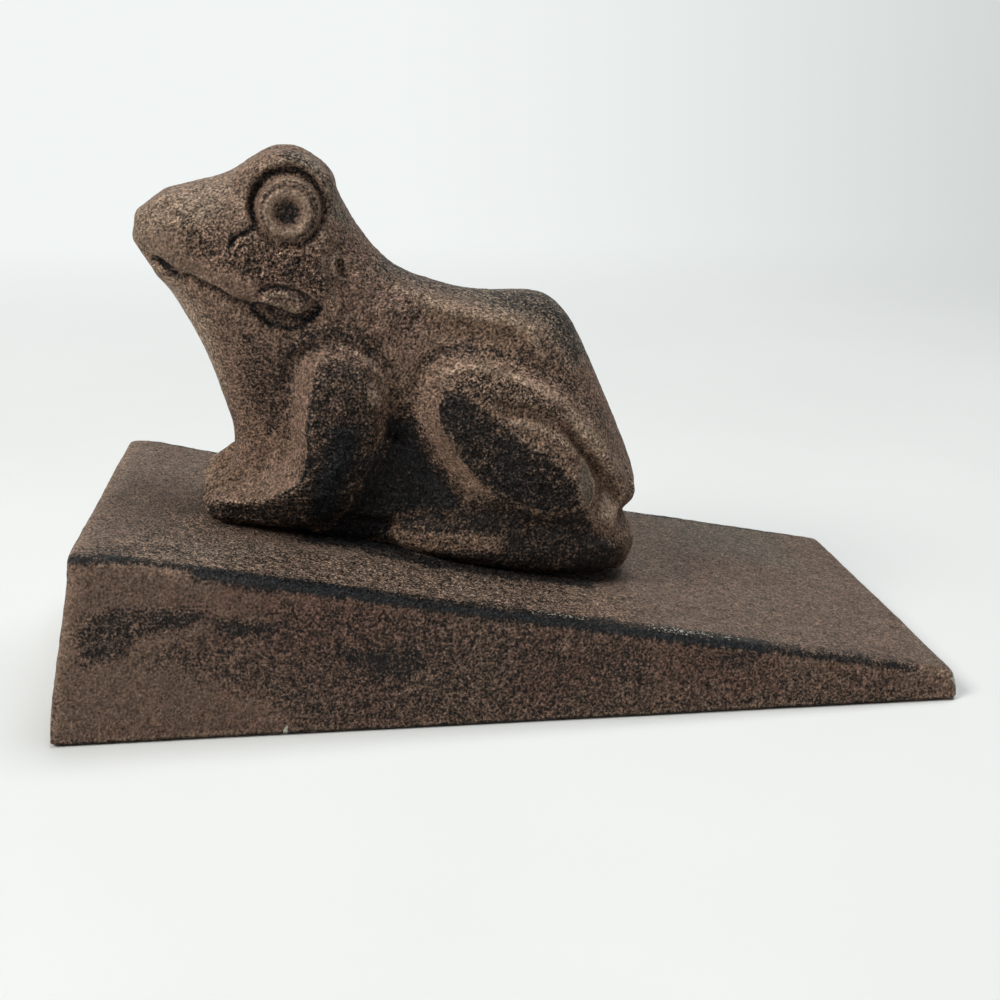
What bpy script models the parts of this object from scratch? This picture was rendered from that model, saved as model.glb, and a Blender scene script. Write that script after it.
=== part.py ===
"""Cast iron door wedge with a sitting frog, for Blender 4.5.

The wedge is one open-bottomed iron casting. The frog is a second, solid casting that sits on the ramp.
Two pan-head screws with washers come up from inside the wedge and hold the frog down.
Metres, +Z up. The origin is on the floor, under the middle of the wedge, and the thick end is at -X.
"""

import math

import bmesh
import bpy
import numpy as np
from mathutils import Vector

MM = 0.001

# Wedge casting: outside sizes
WEDGE_LENGTH = 150 * MM
WEDGE_WIDTH = 68 * MM
THICK_END_HEIGHT = 31.4 * MM
TIP_HEIGHT = 5.4 * MM
END_DRAFT = math.radians(12.4)
SIDE_DRAFT = math.radians(2.2)
EDGE_RADIUS = 1.3 * MM
EDGE_SEGMENTS = 3
SHARP_ANGLE = math.radians(40)

# Wedge casting: the hollow under it
SIDE_WALL = 5.0 * MM
TOP_PLATE = 5.0 * MM
TIP_ROOF_HEIGHT = 3.0 * MM
CORE_RADIUS = 2.0 * MM
CORE_SEGMENTS = 2
BOSS_DIAMETER = 18 * MM
BOSS_HEIGHT = 2.0 * MM

# Where the frog sits, and the part of the ramp in front of it that goes under a door
SEAT_FROM_THICK_END = 75 * MM
SEAT_GAP = 0.3 * MM
BEARING_FROM_TIP = 42 * MM

# Fixings: M5 screws and wide washers, with their positions along the ramp from the frog's seat point. The
# crown's points are shares of the head's radius and height, from its slotted face towards its seat.
SCREW_POSITIONS = {"front": -38 * MM, "rear": 2 * MM}
SCREW_DIAMETER = 5.0 * MM
THREAD_PITCH = 0.8 * MM
THREAD_DEPTH = 0.45 * MM
THREAD_ROWS = 3
THREAD_SIDES = 12
SCREW_LENGTH = 16 * MM
SCREW_TIP_SHARE = 0.75
HEAD_DIAMETER = 10 * MM
HEAD_HEIGHT = 3.0 * MM
HEAD_CROWN = [(0.62, 1.0), (0.88, 0.82), (1.0, 0.45)]
SLOT_WIDTH = 1.2 * MM
SLOT_DEPTH = 1.2 * MM
WASHER_DIAMETER = 15 * MM
WASHER_THICKNESS = 1.2 * MM
HOLE_CLEARANCE = 0.4 * MM
FIT_GAP = 0.3 * MM
TAPPED_SPARE_DEPTH = 2.0 * MM
DRILL_TIP_SHARE = 0.1
ROUND_SIDES = 24

# Frog casting: how finely it is carved, and how square its masses are across, where 2 is an ellipse
CARVING_STEP = 0.75 * MM
TRUNK_SOFTENING = 30
SKIN_SOFTENING = 6
FROG_TRIANGLES = 9400
MASS_SIDES = 28
TRUNK_FULLNESS = 2.4
LIMB_FULLNESS = 2.5

# Only skin that faces sideways is carved. These are shares of a face that is square to the side view.
CARVED_FROM = 0.15
FULLY_CARVED_FROM = 0.5

# What follows from the sizes above
WASHER_SEAT = -TOP_PLATE - BOSS_HEIGHT - FIT_GAP
HEAD_SEAT = WASHER_SEAT - WASHER_THICKNESS - FIT_GAP
SCREW_TIP = HEAD_SEAT + SCREW_LENGTH
THICK_END_X = -WEDGE_LENGTH / 2
THICK_TOP_X = THICK_END_X + THICK_END_HEIGHT * math.tan(END_DRAFT)
TIP_TOP_X = WEDGE_LENGTH / 2 - TIP_HEIGHT * math.tan(END_DRAFT)
RAMP_SLOPE = (TIP_HEIGHT - THICK_END_HEIGHT) / (TIP_TOP_X - THICK_TOP_X)
RAMP_ANGLE = -math.atan(RAMP_SLOPE)
SEAT_X = THICK_END_X + SEAT_FROM_THICK_END
BEARING_X = WEDGE_LENGTH / 2 - BEARING_FROM_TIP

# Frog casting: its masses, in millimetres along the ramp (x), across it (y) and square to it (z), from the
# seat point. The nose points to -x. The trunk's stations are (position, low edge, high edge, half width).
TRUNK_ALONG_X = [
    (-70.3, 44.2, 47.8, 3.6),
    (-69.3, 42.4, 49.8, 6.0),
    (-66.5, 39.6, 52.0, 8.8),
    (-62.0, 36.2, 54.3, 10.9),
    (-57.0, 33.2, 56.4, 12.0),
    (-53.0, 31.6, 59.4, 12.5),
    (-49.0, 31.0, 61.4, 12.6),
    (-45.0, 31.0, 61.8, 12.6),
    (-41.5, 30.0, 60.6, 12.4),
    (-38.5, 28.0, 57.4, 12.1),
    (-35.5, 25.0, 53.6, 11.8),
    (-31.5, 20.0, 49.8, 11.6),
    (-27.0, 12.0, 47.2, 11.7),
    (-21.0, 6.0, 45.5, 12.1),
    (-14.0, 3.0, 44.9, 12.6),
    (-8.0, -4.0, 45.7, 13.0),
    (-3.0, -6.0, 46.7, 13.0),
    (0.8, -6.0, 45.9, 13.0),
    (4.8, -6.0, 42.6, 12.8),
    (9.2, -6.0, 36.6, 12.4),
    (13.7, -6.0, 30.0, 11.8),
    (17.7, -6.0, 24.0, 11.0),
    (20.7, -6.0, 19.0, 10.0),
    (22.7, 2.0, 14.0, 8.4),
]
# The throat and chest go down to the ramp: (height, front edge, back edge, half width).
CHEST_UP_Z = [
    (46.0, -66.0, -30.0, 9.4),
    (41.0, -66.4, -26.0, 11.4),
    (36.0, -62.6, -22.0, 12.2),
    (31.0, -58.7, -19.0, 12.2),
    (26.0, -55.4, -17.0, 11.4),
    (20.0, -52.4, -17.0, 10.2),
    (15.0, -50.0, -20.0, 9.2),
    (10.0, -49.2, -25.0, 8.8),
    (4.0, -49.6, -30.0, 8.8),
    (-5.0, -49.6, -30.0, 8.8),
]
# Limbs and brows are (x, z, y, radius in the side view, radius across) on the frog's left side, and are
# mirrored to its right.
BROW = [
    (-51.0, 55.8, -6.4, 4.4, 4.4),
    (-47.0, 57.2, -6.9, 5.6, 5.2),
    (-42.6, 56.6, -6.6, 4.6, 4.6),
]
FORELEG = [
    (-34.0, 26.4, -8.4, 6.5, 6.0),
    (-32.6, 20.0, -8.8, 7.4, 6.4),
    (-31.2, 13.5, -8.8, 7.0, 6.0),
    (-35.0, 8.0, -8.6, 6.4, 5.2),
    (-40.0, 5.4, -8.0, 5.2, 4.6),
    (-44.5, 4.0, -7.4, 4.4, 4.4),
]
FORE_TOES = [
    [(-42.0, 4.0, -8.8, 3.8, 2.6), (-47.0, 3.0, -9.4, 3.0, 2.2), (-50.6, 2.4, -9.8, 2.1, 1.8)],
    [(-42.0, 4.8, -6.2, 3.8, 2.6), (-47.6, 4.0, -6.2, 3.3, 2.2), (-51.2, 3.2, -6.3, 2.4, 1.8)],
    [(-42.0, 5.4, -3.4, 3.8, 2.6), (-47.6, 5.0, -2.8, 3.6, 2.2), (-51.2, 4.0, -2.6, 2.8, 1.8)],
]
THIGH = [
    (-14.4, 26.8, -7.8, 6.9, 6.6),
    (-7.0, 28.9, -8.4, 4.9, 5.8),
    (-1.0, 28.6, -8.9, 4.1, 5.2),
    (5.5, 26.4, -9.0, 3.6, 4.6),
    (11.5, 22.4, -8.8, 3.2, 4.2),
    (16.5, 17.6, -8.4, 2.8, 3.8),
    (20.0, 12.8, -7.6, 2.4, 3.2),
]
SHIN = [
    (-13.6, 25.0, -8.0, 6.6, 7.2),
    (-8.5, 21.4, -8.8, 6.8, 7.4),
    (-3.0, 18.4, -9.2, 7.2, 7.6),
    (2.5, 16.0, -9.3, 7.4, 7.4),
    (7.5, 13.4, -9.3, 7.0, 7.0),
    (12.0, 10.4, -9.2, 6.0, 6.6),
]
HIND_FOOT = [
    (-18.4, 3.2, -8.4, 3.6, 4.2),
    (-13.5, 3.3, -9.6, 4.2, 5.0),
    (-6.0, 3.4, -10.4, 4.5, 5.4),
    (3.0, 4.2, -10.6, 5.2, 5.4),
    (10.5, 5.6, -10.4, 6.0, 5.4),
    (16.0, 7.0, -9.8, 5.8, 5.2),
    (18.4, 7.6, -9.0, 4.4, 4.4),
]
# The soft flesh between the shin, the foot and the belly
HIP_BLOCK = [
    (-13.0, 13.0, -5.6, 8.5, 6.2),
    (-5.0, 11.0, -6.8, 9.0, 6.6),
    (5.0, 10.0, -7.6, 9.0, 6.8),
    (12.0, 9.0, -7.2, 7.5, 6.4),
]

# Frog casting: lines cut into its sides, in millimetres as (x, z) in the side view
EYE_CENTRE = (-45.7, 53.9)
EYE_SOCKET_RADIUS = 5.4
EYE_SOCKET_WIDTH = 0.85
EYE_SOCKET_DEPTH = 1.3
EYE_RING_RADIUS = 3.3
EYE_RING_WIDTH = 1.1
EYE_RING_RISE = 0.8
PUPIL_RADIUS = 1.8
PUPIL_DEPTH = 0.9
MOUTH_LINE = [
    (-67.5, 43.2),
    (-61.0, 40.0),
    (-54.0, 38.4),
    (-49.5, 37.3),
    (-46.5, 35.6),
    (-43.2, 34.9),
    (-40.2, 36.0),
    (-38.6, 38.4),
]
MOUTH_WIDTH = 0.85
MOUTH_DEPTH = 0.9
CHEEK_X = -44.0
CHEEK_SPREAD = 5.0
CHEEK_WIDENING = 0.7
THIGH_GROOVE = [(-2.0, 25.6), (2.5, 24.8), (6.5, 23.2), (10.8, 20.2), (14.0, 17.6), (18.5, 13.4)]
THIGH_GROOVE_WIDTH = 1.2
THIGH_GROOVE_DEPTH = 0.8
BACK_FOLD = [
    (-33.0, 41.0),
    (-24.0, 40.6),
    (-16.0, 41.0),
    (-9.0, 41.3),
    (-4.0, 41.2),
    (1.0, 39.0),
    (4.0, 36.0),
]
BACK_FOLD_WIDTH = 2.0
BACK_FOLD_RISE = 0.9
BACK_FOLD_FADE = 7.0

# The waist between the arm and the knee is drawn in: its middle and its reach as (x, z), and its depth
WAIST_CENTRE = (-22.0, 13.0)
WAIST_REACH = (5.5, 12.0)
WAIST_DEPTH = 3.2

# Base colour, roughness and metallic value of each piece's material
SURFACES = {
    "wedge_iron": ((0.080, 0.058, 0.048), 0.74, 0.3),
    "frog_iron": ((0.095, 0.068, 0.055), 0.70, 0.3),
    "screw_steel": ((0.42, 0.41, 0.39), 0.40, 1.0),
    "washer_steel": ((0.46, 0.45, 0.43), 0.46, 1.0),
}


def clear_scene():
    for old in list(bpy.data.objects):
        bpy.data.objects.remove(old, do_unlink=True)


def material(name):
    colour, roughness, metallic = SURFACES[name]
    made = bpy.data.materials.get(name)
    if made is None:
        made = bpy.data.materials.new(name)
        made.use_nodes = True
        shader = made.node_tree.nodes["Principled BSDF"]
        shader.inputs["Base Color"].default_value = (*colour, 1)
        shader.inputs["Roughness"].default_value = roughness
        shader.inputs["Metallic"].default_value = metallic
    return made


def finish_mesh(mesh, surface, is_round=True):
    """Gives a mesh its material, and smooth shading between its sharp corners where it is round."""
    mesh.materials.clear()
    mesh.materials.append(material(surface))
    if is_round:
        mesh.shade_smooth()
        mesh.set_sharp_from_angle(angle=SHARP_ANGLE)


def object_from(name, bm, surface=None, is_round=True):
    """A visible piece if it has a surface, or a wire cutter or guide if it has none."""
    bmesh.ops.recalc_face_normals(bm, faces=bm.faces)
    mesh = bpy.data.meshes.new(name)
    bm.to_mesh(mesh)
    bm.free()
    made = bpy.data.objects.new(name, mesh)
    bpy.context.scene.collection.objects.link(made)
    if surface:
        finish_mesh(mesh, surface, is_round)
    else:
        made.hide_render = True
        made.display_type = "WIRE"
    return made


def place_on_ramp(piece, x, frame):
    piece.parent = frame
    piece.location = (x, 0, 0)


def boolean(target, tool, operation):
    modifier = target.modifiers.new(f"{operation.lower()} {tool.name}", "BOOLEAN")
    modifier.operation = operation
    modifier.object = tool


def evaluated_mesh(source):
    """The mesh of an object with its modifiers applied."""
    bpy.context.view_layer.update()
    graph = bpy.context.evaluated_depsgraph_get()
    return bpy.data.meshes.new_from_object(source.evaluated_get(graph))


def loft(bm, rings):
    """Adds one closed skin through rings of points, with flat ends."""
    loops = [[bm.verts.new(point) for point in ring] for ring in rings]
    count = len(loops[0])
    for near, far in zip(loops, loops[1:]):
        for i in range(count):
            j = (i + 1) % count
            bm.faces.new((near[i], near[j], far[j], far[i]))
    bm.faces.new(list(reversed(loops[0])))
    bm.faces.new(loops[-1])


def ramp_height(x):
    return TIP_HEIGHT + RAMP_SLOPE * (x - TIP_TOP_X)


# Wedge casting

def wedge_ring(low_x, high_x, half_width, z_of_x, side_inset):
    """Four corners of a sloping rectangle, counter-clockwise from above."""
    return [
        (x, side * (half_width - side_inset * z_of_x(x)), z_of_x(x))
        for x, side in ((low_x, -1), (high_x, -1), (high_x, 1), (low_x, 1))
    ]


def wedge_outside():
    bm = bmesh.new()
    half = WEDGE_WIDTH / 2
    draft = math.tan(SIDE_DRAFT)
    bottom = wedge_ring(THICK_END_X, WEDGE_LENGTH / 2, half, lambda x: 0.0, draft)
    top = wedge_ring(THICK_TOP_X, TIP_TOP_X, half, ramp_height, draft)
    loft(bm, [bottom, top])
    bmesh.ops.bevel(bm, geom=bm.edges[:], offset=EDGE_RADIUS, offset_type="OFFSET",
                    segments=EDGE_SEGMENTS, profile=0.5, affect="EDGES")
    bmesh.ops.bisect_plane(bm, geom=bm.verts[:] + bm.edges[:] + bm.faces[:],
                           plane_co=(BEARING_X, 0, 0), plane_no=(1, 0, 0))
    return object_from("wedge_base", bm, "wedge_iron", is_round=False)


def wedge_core():
    """The sand core that leaves the hollow: drafted walls, and a roof that follows the ramp."""
    plate_drop = TOP_PLATE / math.cos(RAMP_ANGLE)

    def roof(x):
        return ramp_height(x) - plate_drop

    lean = math.tan(END_DRAFT)
    draft = math.tan(SIDE_DRAFT)
    half = WEDGE_WIDTH / 2 - SIDE_WALL
    wall_x = THICK_END_X + SIDE_WALL
    roof_start_x = wall_x + lean * roof(wall_x) / (1 - lean * RAMP_SLOPE)
    roof_end_x = TIP_TOP_X + (TIP_ROOF_HEIGHT + plate_drop - TIP_HEIGHT) / RAMP_SLOPE
    floor_end_x = roof_end_x + lean * TIP_ROOF_HEIGHT
    below = -2 * CORE_RADIUS
    bm = bmesh.new()
    bottom = wedge_ring(wall_x + lean * below, floor_end_x - lean * below, half, lambda x: below, draft)
    top = wedge_ring(roof_start_x, roof_end_x, half, roof, draft)
    loft(bm, [bottom, top])
    inner = [edge for edge in bm.edges if max(v.co.z for v in edge.verts) > 0]
    bmesh.ops.bevel(bm, geom=inner, offset=CORE_RADIUS, offset_type="OFFSET",
                    segments=CORE_SEGMENTS, profile=0.5, affect="EDGES")
    return object_from("wedge_core", bm)


def ramp_frame():
    """The frog's frame: its origin on the ramp at the seat point, x down the ramp and z square to it."""
    frame = bpy.data.objects.new("ramp_frame", None)
    frame.location = (SEAT_X, 0, ramp_height(SEAT_X))
    frame.rotation_euler = (0, RAMP_ANGLE, 0)
    bpy.context.scene.collection.objects.link(frame)
    return frame


def circle(radius, z, sides=ROUND_SIDES):
    """A ring of points about z."""
    angles = [2 * math.pi * i / sides for i in range(sides)]
    return [(radius * math.cos(a), radius * math.sin(a), z) for a in angles]


def turned(name, profile, surface=None):
    """A solid turned about z from (radius, z) points, listed from the bottom up."""
    bm = bmesh.new()
    loft(bm, [circle(radius, z) for radius, z in profile])
    return object_from(name, bm, surface)


def build_wedge(frame):
    wedge = wedge_outside()
    boolean(wedge, wedge_core(), "DIFFERENCE")
    hole_radius = SCREW_DIAMETER / 2 + HOLE_CLEARANCE
    boss_foot = -TOP_PLATE - BOSS_HEIGHT
    for place, x in SCREW_POSITIONS.items():
        boss = turned(f"{place}_boss", [(BOSS_DIAMETER / 2, boss_foot), (BOSS_DIAMETER / 2, -TOP_PLATE / 2)])
        drill = turned(f"{place}_drill", [(hole_radius, 2 * boss_foot), (hole_radius, TOP_PLATE)])
        for tool, operation in ((boss, "UNION"), (drill, "DIFFERENCE")):
            place_on_ramp(tool, x, frame)
            boolean(wedge, tool, operation)
    return wedge


# Screws and washers

def thread_rings(z_low, z_high):
    """Rings of a screw thread: the radius rises and falls with both the angle and the height."""
    core = SCREW_DIAMETER / 2 - THREAD_DEPTH
    rows = round((z_high - z_low) / THREAD_PITCH * THREAD_ROWS)
    rings = []
    for row in range(rows + 1):
        z = z_low + (z_high - z_low) * row / rows
        fade = min(1.0, row / THREAD_ROWS, (rows - row) / THREAD_ROWS)
        ring = []
        for i in range(THREAD_SIDES):
            turn = i / THREAD_SIDES
            crest = 1 - abs(2 * ((z / THREAD_PITCH - turn) % 1.0) - 1)
            radius = core + THREAD_DEPTH * crest * fade
            angle = 2 * math.pi * turn
            ring.append((radius * math.cos(angle), radius * math.sin(angle), z))
        rings.append(ring)
    return rings


def build_screw(place, x, frame):
    """A slotted pan-head machine screw, head down, driven from inside the wedge."""
    half_head = HEAD_DIAMETER / 2
    shank = SCREW_DIAMETER / 2
    core = shank - THREAD_DEPTH
    thread_start = HEAD_SEAT + WASHER_THICKNESS + THREAD_PITCH
    head_and_neck = [(share * half_head, HEAD_SEAT - rise * HEAD_HEIGHT) for share, rise in HEAD_CROWN]
    head_and_neck += [
        (half_head, HEAD_SEAT),
        (shank, HEAD_SEAT),
        (shank, HEAD_SEAT + WASHER_THICKNESS),
    ]
    rings = [circle(radius, z, THREAD_SIDES) for radius, z in head_and_neck]
    rings += thread_rings(thread_start, SCREW_TIP - THREAD_PITCH)
    rings.append(circle(SCREW_TIP_SHARE * core, SCREW_TIP, THREAD_SIDES))
    bm = bmesh.new()
    loft(bm, rings)
    screw = object_from(f"{place}_screw", bm, "screw_steel")

    bm = bmesh.new()
    bmesh.ops.create_cube(bm, size=1)
    bmesh.ops.scale(bm, vec=(SLOT_WIDTH, 2 * HEAD_DIAMETER, 2 * SLOT_DEPTH), verts=bm.verts)
    bmesh.ops.translate(bm, vec=(0, 0, HEAD_SEAT - HEAD_HEIGHT), verts=bm.verts)
    slot = object_from(f"{place}_slot_cutter", bm)
    for piece in (screw, slot):
        place_on_ramp(piece, x, frame)
    boolean(screw, slot, "DIFFERENCE")


def build_washer(place, x, frame):
    outer = WASHER_DIAMETER / 2
    bore_radius = SCREW_DIAMETER / 2 + FIT_GAP
    foot = WASHER_SEAT - WASHER_THICKNESS
    washer = turned(f"{place}_washer", [(outer, foot), (outer, WASHER_SEAT)], "washer_steel")
    bore = turned(f"{place}_washer_bore", [(bore_radius, 2 * foot), (bore_radius, 0)])
    for piece in (washer, bore):
        place_on_ramp(piece, x, frame)
    boolean(washer, bore, "DIFFERENCE")


# Frog casting

def smooth_stations(stations, steps=4):
    """Catmull-Rom points through the stations, so that a few of them give a smooth mass."""
    table = np.array(stations, float)
    padded = np.vstack([2 * table[0] - table[1], table, 2 * table[-1] - table[-2]])
    made = []
    for i in range(1, len(padded) - 2):
        p0, p1, p2, p3 = padded[i - 1 : i + 3]
        for t in np.arange(steps) / steps:
            made.append(0.5 * (2 * p1 + (p2 - p0) * t + (2 * p0 - 5 * p1 + 4 * p2 - p3) * t**2
                               + (3 * p1 - p0 - 3 * p2 + p3) * t**3))
    made.append(table[-1])
    return made


def rounded_ring(centre, first, second, a, b, fullness):
    """A superellipse of half sizes a and b along two directions."""
    ring = []
    for i in range(MASS_SIDES):
        angle = 2 * math.pi * i / MASS_SIDES
        c, s = math.cos(angle), math.sin(angle)
        u = math.copysign(abs(c) ** (2 / fullness), c)
        v = math.copysign(abs(s) ** (2 / fullness), s)
        ring.append(centre + first * a * u + second * b * v)
    return ring


def add_mass_along_x(bm, stations):
    rings = [
        rounded_ring(Vector((x, 0, (low + high) / 2)), Vector((0, 1, 0)), Vector((0, 0, 1)),
                     half, (high - low) / 2, TRUNK_FULLNESS)
        for x, low, high, half in smooth_stations(stations)
    ]
    loft(bm, rings)


def add_mass_up_z(bm, stations):
    rings = [
        rounded_ring(Vector(((front + back) / 2, 0, z)), Vector((1, 0, 0)), Vector((0, 1, 0)),
                     (back - front) / 2, half, TRUNK_FULLNESS)
        for z, front, back, half in smooth_stations(stations)
    ]
    loft(bm, rings)


def add_limb(bm, stations, side):
    """A tube through the stations with round ends, on the left for side 1 and on the right for side -1."""
    points = smooth_stations(stations)
    centres = [Vector((x, side * y, z)) for x, z, y, _, _ in points]
    across = Vector((0, 1, 0))
    body = []
    for i, (centre, point) in enumerate(zip(centres, points)):
        along = (centres[min(i + 1, len(centres) - 1)] - centres[max(i - 1, 0)]).normalized()
        body.append((centre, along, along.cross(across).normalized(), point[3], point[4]))
    rings = [
        rounded_ring(centre, across, normal, half_across, half_side, LIMB_FULLNESS)
        for centre, _, normal, half_side, half_across in body
    ]

    def round_end(station, sign):
        centre, along, normal, half_side, half_across = station
        cap = []
        for k in (1, 2, 3):
            angle = k * math.pi / 8
            shrink = math.cos(angle)
            shifted = centre + along * sign * math.sin(angle) * half_side
            cap.append(rounded_ring(shifted, across, normal, half_across * shrink,
                                    half_side * shrink, LIMB_FULLNESS))
        return cap

    loft(bm, round_end(body[0], -1)[::-1] + rings + round_end(body[-1], 1))


def object_from_millimetres(name, bm):
    bmesh.ops.scale(bm, vec=(MM, MM, MM), verts=bm.verts)
    return object_from(name, bm)


def one_skin(masses, passes):
    """Melts overlapping masses into one skin and softens the creases between them."""
    remesh = masses.modifiers.new("one skin", "REMESH")
    remesh.mode = "VOXEL"
    remesh.voxel_size = CARVING_STEP
    soften = masses.modifiers.new("soften", "SMOOTH")
    soften.factor = 0.5
    soften.iterations = passes
    return evaluated_mesh(masses)


def frog_skin():
    """The trunk is softened and drawn in at the waist first, so that the limbs put on it keep their shape."""
    bm = bmesh.new()
    add_mass_along_x(bm, TRUNK_ALONG_X)
    add_mass_up_z(bm, CHEST_UP_Z)
    for side in (1, -1):
        add_limb(bm, BROW, side)
    trunk = one_skin(object_from_millimetres("frog_trunk", bm), TRUNK_SOFTENING)
    carve(trunk, waist_depth)

    bm = bmesh.new()
    for side in (1, -1):
        for limb in (FORELEG, *FORE_TOES, THIGH, SHIN, HIND_FOOT, HIP_BLOCK):
            add_limb(bm, limb, side)
    bmesh.ops.scale(bm, vec=(MM, MM, MM), verts=bm.verts)
    bm.from_mesh(trunk)
    skin = one_skin(object_from("frog_masses", bm), SKIN_SOFTENING)
    carve(skin, carving_depth)
    return skin


def line_distance(x, z, line):
    """Distance in the side view from each point to a broken line through (x, z) points."""
    best = np.full(len(x), np.inf)
    for (x0, z0), (x1, z1) in zip(line, line[1:]):
        dx, dz = x1 - x0, z1 - z0
        t = np.clip(((x - x0) * dx + (z - z0) * dz) / (dx * dx + dz * dz), 0, 1)
        best = np.minimum(best, np.hypot(x - x0 - t * dx, z - z0 - t * dz))
    return best


def bump(distance, width):
    return np.exp(-((distance / width) ** 2))


def carving_depth(x, z):
    """How far the pattern maker's cuts and rises move the side surface outwards, in millimetres."""
    eye = np.hypot(x - EYE_CENTRE[0], z - EYE_CENTRE[1])
    out = -EYE_SOCKET_DEPTH * bump(eye - EYE_SOCKET_RADIUS, EYE_SOCKET_WIDTH)
    out += EYE_RING_RISE * bump(eye - EYE_RING_RADIUS, EYE_RING_WIDTH)
    out -= PUPIL_DEPTH * bump(eye, PUPIL_RADIUS)
    cheek = bump(x - CHEEK_X, CHEEK_SPREAD)
    out -= MOUTH_DEPTH * (1 + cheek * CHEEK_WIDENING) * bump(
        line_distance(x, z, MOUTH_LINE), MOUTH_WIDTH * (1 + cheek * CHEEK_WIDENING))
    out -= THIGH_GROOVE_DEPTH * bump(line_distance(x, z, THIGH_GROOVE), THIGH_GROOVE_WIDTH)
    along = np.clip(np.minimum(x - BACK_FOLD[0][0], BACK_FOLD[-1][0] - x) / BACK_FOLD_FADE, 0, 1)
    out += BACK_FOLD_RISE * along * bump(line_distance(x, z, BACK_FOLD), BACK_FOLD_WIDTH)
    return out


def waist_depth(x, z):
    reach_x, reach_z = WAIST_REACH
    return -WAIST_DEPTH * bump(x - WAIST_CENTRE[0], reach_x) * bump(z - WAIST_CENTRE[1], reach_z)


def carve(mesh, depth_at):
    """Moves the points of both sides in or out, like a tool that works square to the side view."""
    count = len(mesh.vertices)
    points = np.empty(count * 3, np.float32)
    normals = np.empty(count * 3, np.float32)
    mesh.vertices.foreach_get("co", points)
    mesh.vertex_normals.foreach_get("vector", normals)
    points = points.reshape(-1, 3).astype(float) / MM
    normals = normals.reshape(-1, 3).astype(float)
    sideways = (np.abs(normals[:, 1]) - CARVED_FROM) / (FULLY_CARVED_FROM - CARVED_FROM)
    outwards = depth_at(points[:, 0], points[:, 2]) * np.clip(sideways, 0, 1)
    points += normals * outwards[:, None]
    mesh.vertices.foreach_set("co", (points * MM).astype(np.float32).ravel())
    mesh.update()


def build_frog(frame):
    mesh = frog_skin()
    mesh.name = "frog"
    finish_mesh(mesh, "frog_iron")
    frog = bpy.data.objects.new("frog", mesh)
    bpy.context.scene.collection.objects.link(frog)
    frog.parent = frame
    thin = frog.modifiers.new("fewer faces", "DECIMATE")
    thin.ratio = min(1.0, FROG_TRIANGLES / (2 * len(mesh.polygons)))
    thin.use_symmetry = True
    thin.symmetry_axis = "Y"
    boolean(frog, sole_cutter(frame), "DIFFERENCE")
    tapped_radius = SCREW_DIAMETER / 2 + FIT_GAP
    hole_end = SCREW_TIP + TAPPED_SPARE_DEPTH
    drill_point = (DRILL_TIP_SHARE * tapped_radius, hole_end + tapped_radius / 2)
    hole_profile = [(tapped_radius, -TOP_PLATE), (tapped_radius, hole_end), drill_point]
    for place, x in SCREW_POSITIONS.items():
        tapped = turned(f"{place}_tapped_hole", hole_profile)
        place_on_ramp(tapped, x, frame)
        boolean(frog, tapped, "DIFFERENCE")


def sole_cutter(frame):
    """Everything under the seat plane, so that the feet stand flat on the ramp."""
    bm = bmesh.new()
    bmesh.ops.create_cube(bm, size=1)
    bmesh.ops.scale(bm, vec=(2 * WEDGE_LENGTH, 2 * WEDGE_WIDTH, WEDGE_WIDTH), verts=bm.verts)
    bmesh.ops.translate(bm, vec=(0, 0, SEAT_GAP - WEDGE_WIDTH / 2), verts=bm.verts)
    cutter = object_from("sole_cutter", bm)
    cutter.parent = frame
    return cutter


clear_scene()
ramp = ramp_frame()
build_wedge(ramp)
build_frog(ramp)
for fixing, position in SCREW_POSITIONS.items():
    build_screw(fixing, position, ramp)
    build_washer(fixing, position, ramp)
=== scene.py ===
import math

import bmesh
import bpy
import numpy as np
from mathutils import Matrix, Vector, noise
from mathutils.bvhtree import BVHTree
from mathutils.geometry import delaunay_2d_cdt


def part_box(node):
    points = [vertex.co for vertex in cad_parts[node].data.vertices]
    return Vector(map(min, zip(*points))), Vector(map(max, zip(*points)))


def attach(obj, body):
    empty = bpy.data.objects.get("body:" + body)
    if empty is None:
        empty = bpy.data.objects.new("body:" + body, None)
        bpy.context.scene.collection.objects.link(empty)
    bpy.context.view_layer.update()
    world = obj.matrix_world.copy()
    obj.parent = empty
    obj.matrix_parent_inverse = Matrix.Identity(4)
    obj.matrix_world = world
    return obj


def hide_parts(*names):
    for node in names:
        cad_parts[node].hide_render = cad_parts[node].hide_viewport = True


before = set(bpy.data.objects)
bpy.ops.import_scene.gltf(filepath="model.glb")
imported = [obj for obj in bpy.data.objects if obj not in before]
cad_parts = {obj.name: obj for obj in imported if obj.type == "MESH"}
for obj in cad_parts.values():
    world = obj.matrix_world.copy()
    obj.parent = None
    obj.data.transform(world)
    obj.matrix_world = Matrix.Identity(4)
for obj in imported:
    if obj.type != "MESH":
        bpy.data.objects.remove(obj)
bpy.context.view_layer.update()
scene = bpy.context.scene
scene.view_settings.view_transform = "Standard"

# The viewpoint: level with a person who looks down at the wedge on a table, in front of the frog's left side.
# The place and the angles come from a camera that was fitted to the wedge's corners in the photograph.
MM = 0.001
VIEW_PLACE = Vector((-29.3, -226.0, 102.0)) * MM
VIEW_YAW = math.radians(7.43)
VIEW_PITCH = math.radians(18.18)
VIEW_ROLL = math.radians(0.50)
FILM_WIDTH = 36.0
FOCAL_LENGTH = 1.327 * FILM_WIDTH

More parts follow.
